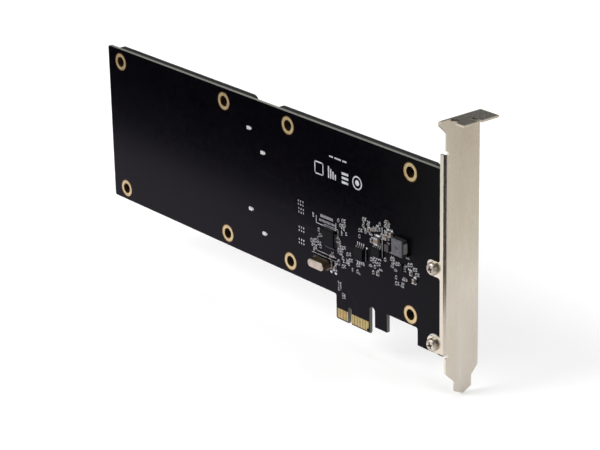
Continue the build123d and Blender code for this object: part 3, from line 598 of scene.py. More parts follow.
@dataclass(frozen=True)
class Palette:
    """Every finish on the card."""

    mask: Finish = MaskedBoard(
        "black_solder_mask", Slot.BOARD, paint(1, 1, 3), paint(4, 3, 7), gloss=(0.18, 0.27),
        patch=45, grain_size=1.4, specular=0.045, specks=0.03,
        speck_tone=paint(14, 14, 17),
    )
    traces: Finish = Finish(
        "masked_copper", Slot.BOARD, paint(4, 4, 5), paint(8, 7, 10), gloss=(0.18, 0.27),
        patch=30, grain_size=1.1, specular=0.065,
    )
    # Dark bronze rim: mask lapped over copper, and painted shade at the edge of the mask's opening.
    covered_rim_and_shade: Finish = Finish(
        "mask_over_copper_rim_and_shade", Slot.BOARD, paint(112, 82, 46), paint(84, 61, 35), gloss=(0.3, 0.42),
        patch=2.5, grain_size=0.3, specular=0.1,
    )
    print_white: Finish = Finish(
        "white_board_print", None, paint(205, 206, 208), paint(160, 162, 168), gloss=(0.55, 0.7),
        patch=1.6, grain_size=0.12, grain_depth=0.006, specks=0.3, speck_tone=paint(96, 96, 104),
    )
    # The ring's brown wall tone, taken from the default, is painted shade inside the holes.
    ring: Finish = Walled(
        "gold_ring_plating", Slot.RING, paint(206, 190, 146), paint(186, 166, 120), metallic=1.0,
        gloss=(0.46, 0.6), patch=3.0, grain_size=0.25, specks=0.12,
        speck_tone=paint(172, 134, 80),
    )
    contact: Finish = Clouded(
        "hard_gold_contact", Slot.CONTACT, paint(176, 166, 106), paint(150, 138, 80), metallic=1.0,
        gloss=(0.22, 0.36), patch=1.5, grain=Grain.UP_CARD, grain_size=0.2, scratches=0.7,
        scratch_tone=paint(196, 178, 124), cloud=paint(214, 150, 104), cloud_size=2.6,
        cloud_range=(0.52, 0.68), cloud_share=0.45,
    )
    tin: Finish = Finish(
        "reflowed_tin", Slot.TIN, paint(206, 205, 202), paint(150, 150, 152), metallic=1.0,
        gloss=(0.22, 0.45), patch=0.9, grain_size=0.2, grain_depth=0.01,
    )
    peg_joint: Finish = Finish(
        "frosted_solder", Slot.TIN, paint(222, 222, 219), paint(196, 196, 196), metallic=0.3,
        gloss=(0.38, 0.52), patch=0.9, grain_size=0.2, grain_depth=0.01,
    )
    bracket: Finish = Clouded(
        "satin_nickel_sheet", Slot.BRACKET, paint(205, 197, 185), paint(192, 183, 170), metallic=1.0,
        gloss=(0.2, 0.29), patch=38, grain=Grain.UP_CARD, grain_size=0.35, grain_depth=0.0006,
        scratches=0.12, scratch_tone=paint(226, 221, 212), specks=0.02, speck_tone=paint(120, 114, 106),
        cloud=paint(214, 210, 202), cloud_size=9, cloud_draw=(1.0, 1.0, 0.12), cloud_share=0.35,
    )
    fastener: Finish = Finish(
        "bright_screw_steel", Slot.FASTENER, paint(206, 197, 184), paint(160, 150, 138), metallic=1.0,
        gloss=(0.3, 0.46), patch=1.4, grain_size=0.25, grain_depth=0.006,
    )
    socket: Finish = Finish(
        "black_socket_plastic", Slot.SOCKET, paint(28, 28, 30), paint(20, 20, 22), gloss=(0.42, 0.58),
        patch=8, grain_size=0.3, grain_depth=0.01, specular=0.3, specks=0.2, speck_tone=paint(44, 44, 48),
    )
    spring: Finish = Finish(
        "gold_flashed_spring", Slot.SPRING, paint(226, 208, 164), paint(196, 176, 128), metallic=1.0,
        gloss=(0.2, 0.34), patch=1.2, grain_size=0.2,
    )
    peg: Finish = Finish(
        "tinned_peg", Slot.PEG, paint(226, 225, 222), paint(198, 198, 197), metallic=0.45,
        gloss=(0.38, 0.52), patch=1.2, grain_size=0.25, grain_depth=0.008,
    )
    case: Finish = Finish(
        "black_painted_case", Slot.CASE, paint(24, 24, 27), paint(17, 17, 19), gloss=(0.34, 0.48),
        patch=30, grain_size=0.35, grain_depth=0.01, specular=0.2, specks=0.05,
        speck_tone=paint(48, 48, 52),
    )
    lid: Finish = Finish(
        "textured_black_lid", Slot.LID, paint(34, 34, 37), paint(27, 27, 30), gloss=(0.42, 0.6),
        patch=26, grain=Grain.ALONG_CARD, grain_size=0.3, grain_depth=0.012, specular=0.3, scratches=0.12,
        scratch_tone=paint(60, 60, 64),
    )
    case_screw: Finish = Finish(
        "black_oxide_screw", Slot.CASE_SCREW, paint(70, 70, 74), paint(44, 44, 47), metallic=1.0,
        gloss=(0.3, 0.5), patch=1.5, grain_size=0.2,
    )
    inner_board: Finish = Finish(
        "green_solder_mask", Slot.INNER_BOARD, paint(28, 84, 58), paint(20, 66, 44), gloss=(0.25, 0.38),
        patch=12, grain_size=0.8, specks=0.15, speck_tone=paint(44, 108, 76),
    )
    chip: Finish = Finish(
        "moulded_epoxy", Slot.CHIP, paint(16, 16, 18), paint(11, 11, 13), gloss=(0.42, 0.6), patch=2.2,
        grain_size=0.14, grain_depth=0.012, specks=0.35, speck_tone=paint(30, 30, 33), specular=0.06,
    )
    lead: Finish = Finish(
        "tinned_lead", Slot.LEAD, paint(226, 226, 224), paint(176, 176, 178), metallic=1.0,
        gloss=(0.22, 0.4), patch=0.8, grain_size=0.15, grain_depth=0.006,
    )
    fine_lead: Finish = Finish(
        "fine_dull_lead", Slot.LEAD, paint(118, 118, 118), paint(84, 84, 86), metallic=1.0,
        gloss=(0.34, 0.5), patch=0.8, grain_size=0.15, grain_depth=0.006,
    )
    # The can's darker wall tone is painted shade on its sides.
    crystal: Finish = Walled(
        "drawn_can_metal", Slot.CRYSTAL, paint(186, 178, 158), paint(160, 151, 132), metallic=1.0,
        gloss=(0.28, 0.4), patch=2.4, grain=Grain.ALONG_CARD, grain_size=0.3,
        scratches=0.3, scratch_tone=paint(222, 216, 202), wall=paint(120, 106, 84),
    )
    crystal_base: Finish = Finish(
        "dull_can_flange", Slot.CRYSTAL, paint(104, 99, 90), paint(70, 66, 60), metallic=1.0,
        gloss=(0.34, 0.5), patch=1.8, grain_size=0.25, grain_depth=0.006,
    )
    # The inductor's near-black wall tone is painted shade on its side walls.
    inductor: Finish = Walled(
        "pressed_iron_powder", Slot.INDUCTOR, paint(90, 89, 95), paint(60, 60, 66), gloss=(0.4, 0.62),
        patch=1.2, grain_size=0.16, grain_depth=0.02, specks=0.5, speck_tone=paint(132, 131, 138),
        wall=paint(38, 38, 42),
    )
    dull_terminal: Finish = Finish(
        "dull_tinned_terminal", Slot.TIN, paint(176, 176, 174), paint(128, 128, 128), metallic=0.35,
        gloss=(0.5, 0.7), patch=0.9, grain_size=0.2, grain_depth=0.01,
    )
    inductor_mark: Finish = Finish(
        "dark_ink_dot", Slot.INDUCTOR, paint(38, 38, 42), paint(52, 52, 57), gloss=(0.5, 0.7), patch=0.6,
        grain_size=0.15, grain_depth=0.008,
    )
    diode: Finish = Finish(
        "dark_diode_mould", Slot.DIODE, paint(44, 36, 32), paint(30, 26, 24), gloss=(0.36, 0.55),
        patch=1.4, grain_size=0.14, grain_depth=0.012, specks=0.3, speck_tone=paint(66, 56, 50),
    )
    capacitor: Finish = Finish(
        "tan_ceramic", Slot.CAPACITOR, paint(132, 116, 98), paint(104, 90, 76), gloss=(0.3, 0.5),
        patch=1.0, grain_size=0.1, grain_depth=0.008, specks=0.3, speck_tone=paint(160, 146, 126),
    )
    resistor: Finish = Finish(
        "glazed_resistor_film", Slot.RESISTOR, paint(34, 34, 38), paint(24, 24, 28), gloss=(0.2, 0.34),
        patch=0.8, grain_size=0.12, grain_depth=0.006, specks=0.2, speck_tone=paint(60, 60, 66),
    )


@dataclass(frozen=True)
class Block:
    """Lowest and highest corner of a node or of one of its solids, in millimetres."""

    low: Vector
    high: Vector

    @property
    def middle(self) -> Vector:
        """Give the point half way between the corners."""
        return (self.low + self.high) / 2

    @property
    def size(self) -> Vector:
        """Give the lengths along X, Y and Z."""
        return self.high - self.low


class CardFrame:
    """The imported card: its nodes, their limits and the separate solids in them.

    Corners closer than the weld, in metres, count as one.
    """

    weld: float = 1e-7

    def __init__(self, nodes: dict[str, bpy.types.Object]) -> None:
        """Keep the nodes and read the planes of the board's two faces."""
        self.nodes = nodes
        board = self.block("circuit_board")
        self.near = board.low.y
        self.far = board.high.y
        self.board = board

    def block(self, node: str) -> Block:
        """Read a node's limits.

        Args:
            node: The node's name.

        Returns:
            Its corners in millimetres.
        """
        low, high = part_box(node)
        return Block(low / MM, high / MM)

    def solids(self, node: str) -> list[Block]:
        """Split a node into its separate solids.

        Args:
            node: The node's name.

        Returns:
            The limits of each solid, sorted by place.
        """
        shape = bmesh.new()
        shape.from_mesh(self.nodes[node].data)
        bmesh.ops.remove_doubles(shape, verts=shape.verts, dist=self.weld)
        waiting = set(shape.verts)
        blocks = []
        while waiting:
            stack = [waiting.pop()]
            points = []
            while stack:
                vertex = stack.pop()
                points.append(vertex.co / MM)
                for edge in vertex.link_edges:
                    other = edge.other_vert(vertex)
                    if other in waiting:
                        waiting.remove(other)
                        stack.append(other)
            low = Vector([min(p[axis] for p in points) for axis in range(3)])
            high = Vector([max(p[axis] for p in points) for axis in range(3)])
            blocks.append(Block(low, high))
        shape.free()
        return sorted(blocks, key=lambda b: (round(b.middle.x, 2), round(b.middle.z, 2)))

    def finish(self, node: str, finish: Finish) -> None:
        """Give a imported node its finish.

        Args:
            node: The node's name.
            finish: The finish to lay on it.
        """
        target = self.nodes[node]
        target.data.materials.clear()
        target.data.materials.append(finish.material())
        LOG.info("dressed %s in %s", node, finish.name)


def mesh_of(name: str, shape: bmesh.types.BMesh, material: bpy.types.Material) -> bpy.types.Mesh:
    """Turn a drawn shape into a mesh, and let the shape go.

    Args:
        name: The mesh's name.
        shape: What was drawn.
        material: What it is dressed in.

    Returns:
        The mesh.
    """
    mesh = bpy.data.meshes.new(name)
    shape.to_mesh(mesh)
    shape.free()
    mesh.materials.append(material)
    return mesh


def put(name: str, data: bpy.types.ID) -> bpy.types.Object:
    """Put an object in the scene.

    Args:
        name: The object's name.
        data: Its mesh, light or camera.

    Returns:
        The object.
    """
    thing = bpy.data.objects.new(name, data)
    bpy.context.scene.collection.objects.link(thing)
    return thing


class Piece:
    """A mesh under construction, drawn in millimetres, that becomes one piece of the card.

    The two angles are degrees.
    """

    mitre_limit: float = 0.4
    dome_levels: int = 4
    dome_turn: float = 80.0
    smooth_turn: float = 40.0

    def __init__(self, name: str) -> None:
        """Start an empty mesh.

        Args:
            name: The piece's name.
        """
        self.name = name
        self.shape = bmesh.new()

    def loft(self, rings: Sequence[Sequence[Vector]]) -> None:
        """Close a skin over rings of equal count, with a cap at each end.

        Args:
            rings: The rings in order, each a list of points.
        """
        rows = [[self.shape.verts.new(point * MM) for point in ring] for ring in rings]
        count = len(rows[0])
        for low, high in zip(rows, rows[1:]):
            for i in range(count):
                j = (i + 1) % count
                self.shape.faces.new((low[i], low[j], high[j], high[i]))
        self.shape.faces.new(rows[0][::-1])
        self.shape.faces.new(rows[-1])

    def plate(self, outline: Sequence[Point], base: float, top: float) -> None:
        """Raise an outline in X and Z between two Y planes.

        Args:
            outline: Corners in order.
            base: Y of the plane that the plate lies on.
            top: Y of its outer plane.
        """
        self.loft([[Vector((x, y, z)) for x, z in outline] for y in (base, top)])

    def bar(self, low: Point, high: Point, base: float, top: float) -> None:
        """Raise a rectangle between two corners in X and Z.

        Args:
            low: Lowest X and Z.
            high: Highest X and Z.
            base: Y of the plane that it lies on.
            top: Y of its outer plane.
        """
        self.plate([low, (high[0], low[1]), high, (low[0], high[1])], base, top)

    def line(self, start: Point, end: Point, width: float, base: float, top: float) -> None:
        """Raise a straight line of even width.

        Args:
            start: X and Z of one end.
            end: X and Z of the other end.
            width: The line's width.
            base: Y of the plane that it lies on.
            top: Y of its outer plane.
        """
        along = Vector((end[0] - start[0], end[1] - start[1])).normalized()
        side = Vector((-along.y, along.x)) * width / 2
        reach = along * width / 2
        corners = []
        for point, way in ((start, -1), (end, 1)):
            for turn in (way, -way):
                corners.append((
                    point[0] + reach.x * way + side.x * turn, point[1] + reach.y * way + side.y * turn
                ))
        self.plate(corners, base, top)

    def path(self, points: Sequence[Point], width: float, base: float, top: float) -> None:
        """Raise a ribbon along a path, with mitred corners.

        Args:
            points: X and Z of each corner.
            width: The ribbon's width.
            base: Y of the plane that it lies on.
            top: Y of its outer plane.
        """
        flat = [Vector(point) for point in points]
        sides = []
        for index, point in enumerate(flat):
            into = (point - flat[index - 1]).normalized() if index else None
            out = (flat[index + 1] - point).normalized() if index + 1 < len(flat) else None
            first = into or out
            last = out or into
            normal = Vector((-(first.y + last.y), first.x + last.x)).normalized()
            stretch = 1 / max(self.mitre_limit, normal.dot(Vector((-first.y, first.x))))
            sides.append(normal * width / 2 * stretch)
        left = [p + s for p, s in zip(flat, sides)]
        right = [p - s for p, s in zip(flat, sides)]
        for i in range(len(flat) - 1):
            quad = [tuple(right[i]), tuple(right[i + 1]), tuple(left[i + 1]), tuple(left[i])]
            self.plate(quad, base, top)

    def dome(self, at: Point, radii: Point, base: float, height: float, steps: int = 14) -> None:
        """Raise a low round or oval mound on the near side.

        Args:
            at: X and Z of its middle.
            radii: Half its width along X and Z.
            base: Y of the plane that it lies on.
            height: How far it stands off that plane.
            steps: How many sides it has.
        """
        rings = []
        for level in range(self.dome_levels):
            turn = level / (self.dome_levels - 1) * math.radians(self.dome_turn)
            rings.append([
                Vector((
                    at[0] + radii[0] * math.cos(turn) * math.cos(step / steps * math.tau),
                    base - height * math.sin(turn),
                    at[1] + radii[1] * math.cos(turn) * math.sin(step / steps * math.tau),
                ))
                for step in range(steps)
            ])
        self.loft(rings)

    def hoop(self, at: Point, outer: float, inner: float, base: float, top: float, steps: int = 32) -> None:
        """Raise a flat ring.

        Args:
            at: X and Z of its middle.
            outer: Outer radius.
            inner: Inner radius.
            base: Y of the plane that it lies on.
            top: Y of its outer plane.
            steps: How many sides it has.
        """
        section = [(outer, base), (outer, top), (inner, top), (inner, base)]
        rows = []
        for step in range(steps):
            turn = step / steps * math.tau
            rows.append([
                self.shape.verts.new(Vector((
                    at[0] + radius * math.cos(turn), y, at[1] + radius * math.sin(turn)
                )) * MM)
                for radius, y in section
            ])
        for index, row in enumerate(rows):
            after = rows[(index + 1) % steps]
            for i in range(len(section)):
                j = (i + 1) % len(section)
                self.shape.faces.new((row[i], row[j], after[j], after[i]))

    def finish(self, finish: Finish, smooth: bool = False) -> None:
        """Turn the mesh into a piece that rides on the card.

        Args:
            finish: The finish to lay on it.
            smooth: Whether gentle curves are shaded smooth.
        """
        bmesh.ops.recalc_face_normals(self.shape, faces=self.shape.faces)
        mesh = mesh_of(self.name, self.shape, finish.material())
        faces = len(mesh.polygons)
        if smooth:
            mesh.polygons.foreach_set("use_smooth", [True] * faces)
            mesh.set_sharp_from_angle(angle=math.radians(self.smooth_turn))
        made = put(self.name, mesh)
        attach(made, "root")
        LOG.info("made %s with %d faces", self.name, faces)


@dataclass
class Dressing:
    """A share of the card's looks. Each kind has a dress method that builds what it adds."""

    card: CardFrame
    palette: Palette

    def lay_finishes(self, finishes: dict[str, str], before: str = "") -> None:
        """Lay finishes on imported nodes.

        Args:
            finishes: For each node, the name of its finish in the palette.
            before: What stands before each node's name.
        """
        for node, name in finishes.items():
            self.card.finish(before + node, getattr(self.palette, name))


@dataclass
class BoardDressing(Dressing):
    """The bare board, its plating and the copper that shows through its mask.

    Each trunk of traces has its start from the first contact's edge, its end from the
    controller's middle, and its count of traces.
    """

    copper_t: float = 0.018
    trace_width: float = 0.22
    trace_gap: float = 0.5
    trunks: tuple[Row, ...] = ((12.2, 1.4, 4), (2.8, -1.6, 3))
    trunk_clear: float = 1.2
    side_lifts: tuple[tuple[str, float], ...] = (("left", 0.6), ("right", -2.2))
    side_traces: int = 4
    side_clear: float = 1.1
    side_reach: float = 3.0
    via_r: float = 0.3
    via_hole_share: float = 0.45
    via_sides: int = 12
    via_step: float = 7.0
    via_inset: float = 1.3
    chip_vias: int = 16
    chip_via_rings: int = 3
    chip_via_r: float = 8.2
    chip_via_spread: float = 1.3
    rim_reach: float = 0.14
    rim_lap: float = 0.22
    rim_t: float = 0.02
    finishes: dict[str, str] = field(default_factory=lambda: {
        "circuit_board": "mask", "drive_hole_rings": "ring", "edge_contacts_near": "contact",
        "edge_contacts_far": "contact", "bracket_hole_pads": "tin",
    })

    def dress(self) -> None:
        """Lay finishes on the board's own nodes and add its copper relief."""
        self.lay_finishes(self.finishes)
        self.lay_traces()
        self.lay_vias()
        self.lap_ring_rims()

    @staticmethod
    def jog(start: Point, end: Point, upright: bool) -> list[Point]:
        """Lead a trace from one place to another with one slanted run.

        Args:
            start: X and Z where it starts.
            end: X and Z where it ends.
            upright: Whether its straight runs go up the card.

        Returns:
            The corners of the route.
        """
        dx, dz = end[0] - start[0], end[1] - start[1]
        straight = dz if upright else dx
        rest = math.copysign((abs(straight) - min(abs(dx), abs(dz))) / 2, straight)
        x, z = (0.0, rest) if upright else (rest, 0.0)
        return [start, (start[0] + x, start[1] + z), (end[0] - x, end[1] - z), end]

    def bundle(self, start: Point, end: Point, count: int, upright: bool) -> list[list[Point]]:
        """Lay several traces side by side.

        Args:
            start: X and Z where the middle one starts.
            end: X and Z where it ends.
            count: How many there are.
            upright: Whether the straight runs go up the card.

        Returns:
            One route for each trace.
        """
        routes = []
        for index in range(count):
            shift = self.trace_gap * (index - (count - 1) / 2)
            dx, dz = (shift, 0.0) if upright else (0.0, shift)
            routes.append(self.jog((start[0] + dx, start[1] + dz), (end[0] + dx, end[1] + dz), upright))
        return routes

    def lay_traces(self) -> None:
        """Run faint copper relief from the contacts to the controller and on to its neighbours."""
        chip = self.card.block("controller_chip")
        contacts = self.card.block("edge_contacts_near")
        memory = self.card.block("memory_chip")
        routes = []
        for from_edge, from_middle, count in self.trunks:
            start = (contacts.low.x + from_edge, contacts.high.z)
            end = (chip.middle.x + from_middle, chip.low.z - self.trunk_clear)
            routes += self.bundle(start, end, count, True)
        for side, lift in self.side_lifts:
            pegs = self.card.block(side + "_socket_pegs")
            start = (chip.low.x - self.side_clear, chip.middle.z + lift)
            end = (pegs.high.x + self.side_reach, pegs.middle.z + lift)
            routes += self.bundle(start, end, self.side_traces, False)
        start = (chip.high.x + self.side_clear, chip.middle.z)
        routes += self.bundle(start, (memory.low.x, memory.middle.z), self.side_traces, False)
        relief = Piece("copper_traces")
        for route in routes:
            relief.path(route, self.trace_width, self.card.near, self.card.near - self.copper_t)
        relief.finish(self.palette.traces)

    def via_places(self) -> list[Point]:
        """List covered vias along the board's upper edge and round the controller.

        Returns:
            X and Z of each via.
        """
        board, chip = self.card.board, self.card.block("controller_chip")
        places = []
        count = int(board.size.x / self.via_step)
        for index in range(1, count):
            x = board.low.x + index * board.size.x / count
            places.append((x, board.high.z - self.via_inset))
        for turn in range(self.chip_vias):
            angle = turn / self.chip_vias * math.tau
            radius = self.chip_via_r + self.chip_via_spread * (turn % self.chip_via_rings)
            places.append((
                chip.middle.x + radius * math.cos(angle), chip.middle.z + radius * math.sin(angle)
            ))
        return places

    def lay_vias(self) -> None:
        """Raise the small covered vias on both faces."""
        vias = Piece("covered_vias")
        hole_r = self.via_r * self.via_hole_share
        for face, way in ((self.card.near, -1), (self.card.far, 1)):
            for at in self.via_places():
                vias.hoop(at, self.via_r, hole_r, face, face + way * self.copper_t, self.via_sides)
        vias.finish(self.palette.traces)

    def lap_ring_rims(self) -> None:
        """Lap the mask over the outer rim of each plated ring on the near face; its dark bronze tone is
        partly mask over copper and partly painted shade at the opening's edge.
        """
        rims = Piece("masked_ring_rims_and_shade")
        for ring in self.card.solids("drive_hole_rings"):
            outer = ring.size.x / 2
            rims.hoop(
                (ring.middle.x, ring.middle.z), outer + self.rim_reach, outer - self.rim_lap,
                self.card.near, ring.low.y - self.rim_t,
            )
        rims.finish(self.palette.covered_rim_and_shade)


@dataclass
class BoardPrint(Dressing):
    """White print on the near face: outlines, short bars and plain marks.

    An outlined part has the shifts of its lowest and highest corner, the letters of the sides that
    are printed, and the lines' width. An empty place has its two corners instead of the shifts.
    """

    ink: float = 0.012
    outlined: tuple[tuple[str, Point, Point, str, float], ...] = (
        ("controller_leads", (0.7, -0.7), (0.7, 0.7), "tr", 0.18),
        ("memory_chip", (-0.5, 0.0), (0.5, 0.0), "lr", 0.16),
        ("crystal_base", (-0.6, -0.6), (0.6, 0.9), "tr", 0.2),
    )
    empty_places: tuple[tuple[Point, Point, str, float], ...] = (
        ((-21.0, 39.9), (-8.3, 43.1), "lbr", 0.3), ((-20.8, 25.8), (-8.5, 27.4), "bt", 0.22),
    )
    dot_shift: Point = (1.1, 0.8)
    dot_r: float = 0.5
    side_line_clear: float = 0.35
    side_line_shifts: Point = (0.6, 9.8)
    side_line_width: float = 0.26
    bar_size: Point = (0.32, 0.95)
    bar_pitch: float = 1.75
    low_bar_share: float = 0.62
    guide_width: float = 0.16
    guide_share: float = 0.85
    guide_clear: float = 0.28
    guide_bars: int = 3
    guide_bars_clear: float = 0.3
    mark_height: float = 5.2
    mark_centres: tuple[Point, ...] = ((-18.7, 64.9), (-10.3, 64.9), (-2.1, 64.9), (5.5, 64.9))
    square_stroke: float = 0.55
    tall_bars: int = 4
    tall_bar_pitch: float = 0.55
    tall_bar_width: float = 0.3
    tall_bar_drop: float = 0.9
    wide_bars: int = 3
    wide_bar_pitch: float = 0.74
    wide_bar_size: Point = (0.8, 0.4)
    ring_height: float = 6.0
    ring_stroke: float = 0.6
    ring_sides: int = 40
    ring_dot_share: float = 0.42
    ring_dot_sides: int = 24
    dash_start: Point = (-12.0, 71.7)
    dash_size: Point = (0.85, 0.75)
    dash_share: float = 0.8
    dash_groups: tuple[int, ...] = (3, 5, 3)
    label_blocks: tuple[Row, ...] = ((-7.4, 13.3, 8), (-4.8, 10.4, 5))
    label_shift: float = 1.3
    part_nodes: tuple[str, ...] = (
        "controller_chip", "controller_leads", "memory_chip", "memory_leads", "regulator_chip",
        "regulator_leads", "switch_chip", "crystal_base", "power_inductor", "power_diode",
        "capacitor_bodies", "resistor_bodies",
    )
    upright_rows: tuple[Row, ...] = (
        (-4.6, 44.6, 5), (-3.2, 44.2, 4), (-4.9, 41.8, 4), (-3.6, 41.4, 3), (-5.0, 38.9, 4), (-2.2, 39.6, 3),
        (-7.4, 35.4, 4), (-6.2, 33.6, 5), (-7.0, 31.2, 4), (-4.8, 31.4, 4), (-3.0, 33.2, 3), (-5.6, 28.4, 4),
        (-4.0, 26.9, 3), (-4.8, 24.9, 3), (0.2, 31.2, 3), (1.6, 24.8, 3), (-0.5, 26.6, 3), (-19.9, 35.9, 5),
        (-24.3, 28.6, 3), (-22.6, 30.4, 4), (-20.5, 31.2, 5), (-19.2, 29.2, 4), (-23.2, 26.8, 3),
        (-23.4, 42.0, 4), (23.2, 52.2, 4), (24.6, 51.4, 3), (22.0, 47.8, 3),
    )
    level_rows: tuple[Row, ...] = (
        (9.0, 48.4, 2), (9.4, 45.8, 3), (11.8, 47.0, 4), (12.8, 44.4, 4), (15.2, 47.8, 3), (17.2, 49.2, 3),
        (26.0, 40.0, 3), (26.2, 38.2, 4), (28.0, 36.6, 3), (31.0, 35.4, 4), (35.2, 40.6, 4), (37.6, 38.4, 4),
        (36.6, 36.0, 4), (38.4, 34.0, 3), (34.4, 36.8, 3), (14.0, 35.8, 5), (16.8, 35.2, 5), (14.8, 33.4, 5),
        (17.6, 32.4, 5), (15.8, 31.2, 4), (18.8, 30.4, 4), (16.0, 29.2, 4), (5.8, 43.6, 2),
        (6.0, 41.4, 2), (6.0, 24.6, 2),
    )

    def dress(self) -> None:
        """Print everything."""
        self.outlines()
        self.part_frames()
        self.loose_rows()
        self.plain_marks()

    @property
    def top(self) -> float:
        """Give the Y plane of the ink's surface."""
        return self.card.near - self.ink

    def frame_lines(self, piece: Piece, low: Point, high: Point, sides: str, width: float) -> None:
        """Print some sides of a rectangle.

        Args:
            piece: The piece that takes the print.
            low: Lowest X and Z.
            high: Highest X and Z.
            sides: Letters for the sides: l, r, b and t.
            width: Width of the lines.
        """
        (left, bottom), (right, top) = low, high
        ends = {
            "l": ((left, bottom), (left, top)), "r": ((right, bottom), (right, top)),
            "b": ((left, bottom), (right, bottom)), "t": ((left, top), (right, top)),
        }
        for side in sides:
            piece.line(*ends[side], width, self.card.near, self.top)

    def outlines(self) -> None:
        """Print the outlines of the larger parts and of the empty places."""
        lines = Piece("print_outlines")
        for node, low_shift, high_shift, sides, width in self.outlined:
            part = self.card.block(node)
            low = (part.low.x + low_shift[0], part.low.z + low_shift[1])
            high = (part.high.x + high_shift[0], part.high.z + high_shift[1])
            self.frame_lines(lines, low, high, sides, width)
        for low, high, sides, width in self.empty_places:
            self.frame_lines(lines, low, high, sides, width)
        memory = self.card.block("memory_chip")
        at = (memory.high.x + self.dot_shift[0], memory.high.z + self.dot_shift[1])
        lines.dome(at, (self.dot_r, self.dot_r), self.card.near, self.ink)
        regulator = self.card.block("regulator_chip")
        x = regulator.high.x + self.side_line_clear
        start = (x, regulator.low.z + self.side_line_shifts[0])
        end = (x, regulator.high.z + self.side_line_shifts[1])
        lines.line(start, end, self.side_line_width, self.card.near, self.top)
        lines.finish(self.palette.print_white)

    def bars(self, piece: Piece, at: Point, count: int, upright: bool) -> None:
        """Print a short row of bars of uneven height.

        Args:
            piece: The piece that takes the print.
            at: X and Z of the row's start.
            count: How many bars.
            upright: Whether the row runs up the card.
        """
        width, height = self.bar_size
        for step in range(count):
            reach = height * (1.0 if step % 2 == 0 else self.low_bar_share)
            shift = step * width * self.bar_pitch
            if upright:
                low, high = (at[0], at[1] + shift), (at[0] + reach, at[1] + shift + width)
            else:
                low, high = (at[0] + shift, at[1]), (at[0] + shift + width, at[1] + reach)
            piece.bar(low, high, self.card.near, self.top)

    @staticmethod
    def beside(middle: Vector, along: float, across: float, upright: bool) -> Point:
        """Give the point that lies so far along and so far across from a part's middle."""
        return (middle.x + across, middle.z + along) if upright else (middle.x + along, middle.z + across)

    def part_frames(self) -> None:
        """Print two guide lines beside each small part, and bars next to every second one."""
        frames = Piece("print_part_frames")
        bars = Piece("print_place_bars")
        solids = self.card.solids("capacitor_bodies") + self.card.solids("resistor_bodies")
        for index, body in enumerate(solids):
            upright = body.size.z > body.size.x
            half = max(body.size.x, body.size.z) * self.guide_share
            clear = min(body.size.x, body.size.z) / 2 + self.guide_clear
            for across in (-clear, clear):
                ends = [self.beside(body.middle, along, across, upright) for along in (-half, half)]
                frames.line(*ends, self.guide_width, self.card.near, self.top)
            if index % 2 == 0:
                at = self.beside(body.middle, -half, clear + self.guide_bars_clear, upright)
                self.bars(bars, at, self.guide_bars, upright)
        frames.finish(self.palette.print_white)
        bars.finish(self.palette.print_white)

    @staticmethod
    def is_bare(low: Point, high: Point, taken: Sequence[Block]) -> bool:
        """Tell whether a place on the board is clear of every part.

        Args:
            low: Lowest X and Z of the place.
            high: Highest X and Z of the place.
            taken: Limits of the parts.

        Returns:
            True where nothing stands.
        """
        return not any(
            low[0] < part.high.x and high[0] > part.low.x and low[1] < part.high.z and high[1] > part.low.z
            for part in taken
        )

    def loose_rows(self) -> None:
        """Print rows of short bars between the parts, wherever the board is bare."""
        rows = Piece("print_loose_rows")
        width, height = self.bar_size
        taken = [block for node in self.part_nodes for block in self.card.solids(node)]
        for places, upright in ((self.upright_rows, True), (self.level_rows, False)):
            for x, z, count in places:
                length = count * width * self.bar_pitch
                across, up = (height, length) if upright else (length, height)
                if self.is_bare((x, z), (x + across, z + up), taken):
                    self.bars(rows, (x, z), count, upright)
        rows.finish(self.palette.print_white)

    def plain_marks(self) -> None:
        """Print plain shapes in the open field: a square, bars, a ring with a dot, and dashes."""
        marks = Piece("print_plain_marks")
        base, top = self.card.near, self.top
        half = self.mark_height / 2
        square, tall, wide, round_mark = self.mark_centres
        low, high = (square[0] - half, square[1] - half), (square[0] + half, square[1] + half)
        self.frame_lines(marks, low, high, "lrbt", self.square_stroke)
        for step in range(self.tall_bars):
            left = tall[0] - half + step * half * self.tall_bar_pitch
            high = (left + half * self.tall_bar_width, tall[1] + half - step * self.tall_bar_drop)
            marks.bar((left, tall[1] - half), high, base, top)
        reach, rise = half * self.wide_bar_size[0], half * self.wide_bar_size[1]
        for step in range(self.wide_bars):
            z = wide[1] - half + step * half * self.wide_bar_pitch
            marks.bar((wide[0] - reach, z), (wide[0] + reach, z + rise), base, top)
        ring = self.ring_height / 2
        marks.hoop(round_mark, ring, ring - self.ring_stroke, base, top, self.ring_sides)
        dot = ring * self.ring_dot_share
        marks.dome(round_mark, (dot, dot), base, self.ink, self.ring_dot_sides)
        self.dashes(marks)
        for x, z, count in self.label_blocks:
            self.bars(marks, (x, z), count, True)
            after = (x + self.bar_size[1] * self.label_shift, z + self.bar_size[0])
            self.bars(marks, after, count - 1, True)
        marks.finish(self.palette.print_white)

    def dashes(self, marks: Piece) -> None:
        """Print a level row of dashes in groups.

        Args:
            marks: The piece that takes the print.
        """
        left, low = self.dash_start
        width, height = self.dash_size
        for group in self.dash_groups:
            for _ in range(group):
                right = left + width * self.dash_share
                marks.bar((left, low), (right, low + height), self.card.near, self.top)
                left += width
            left += width


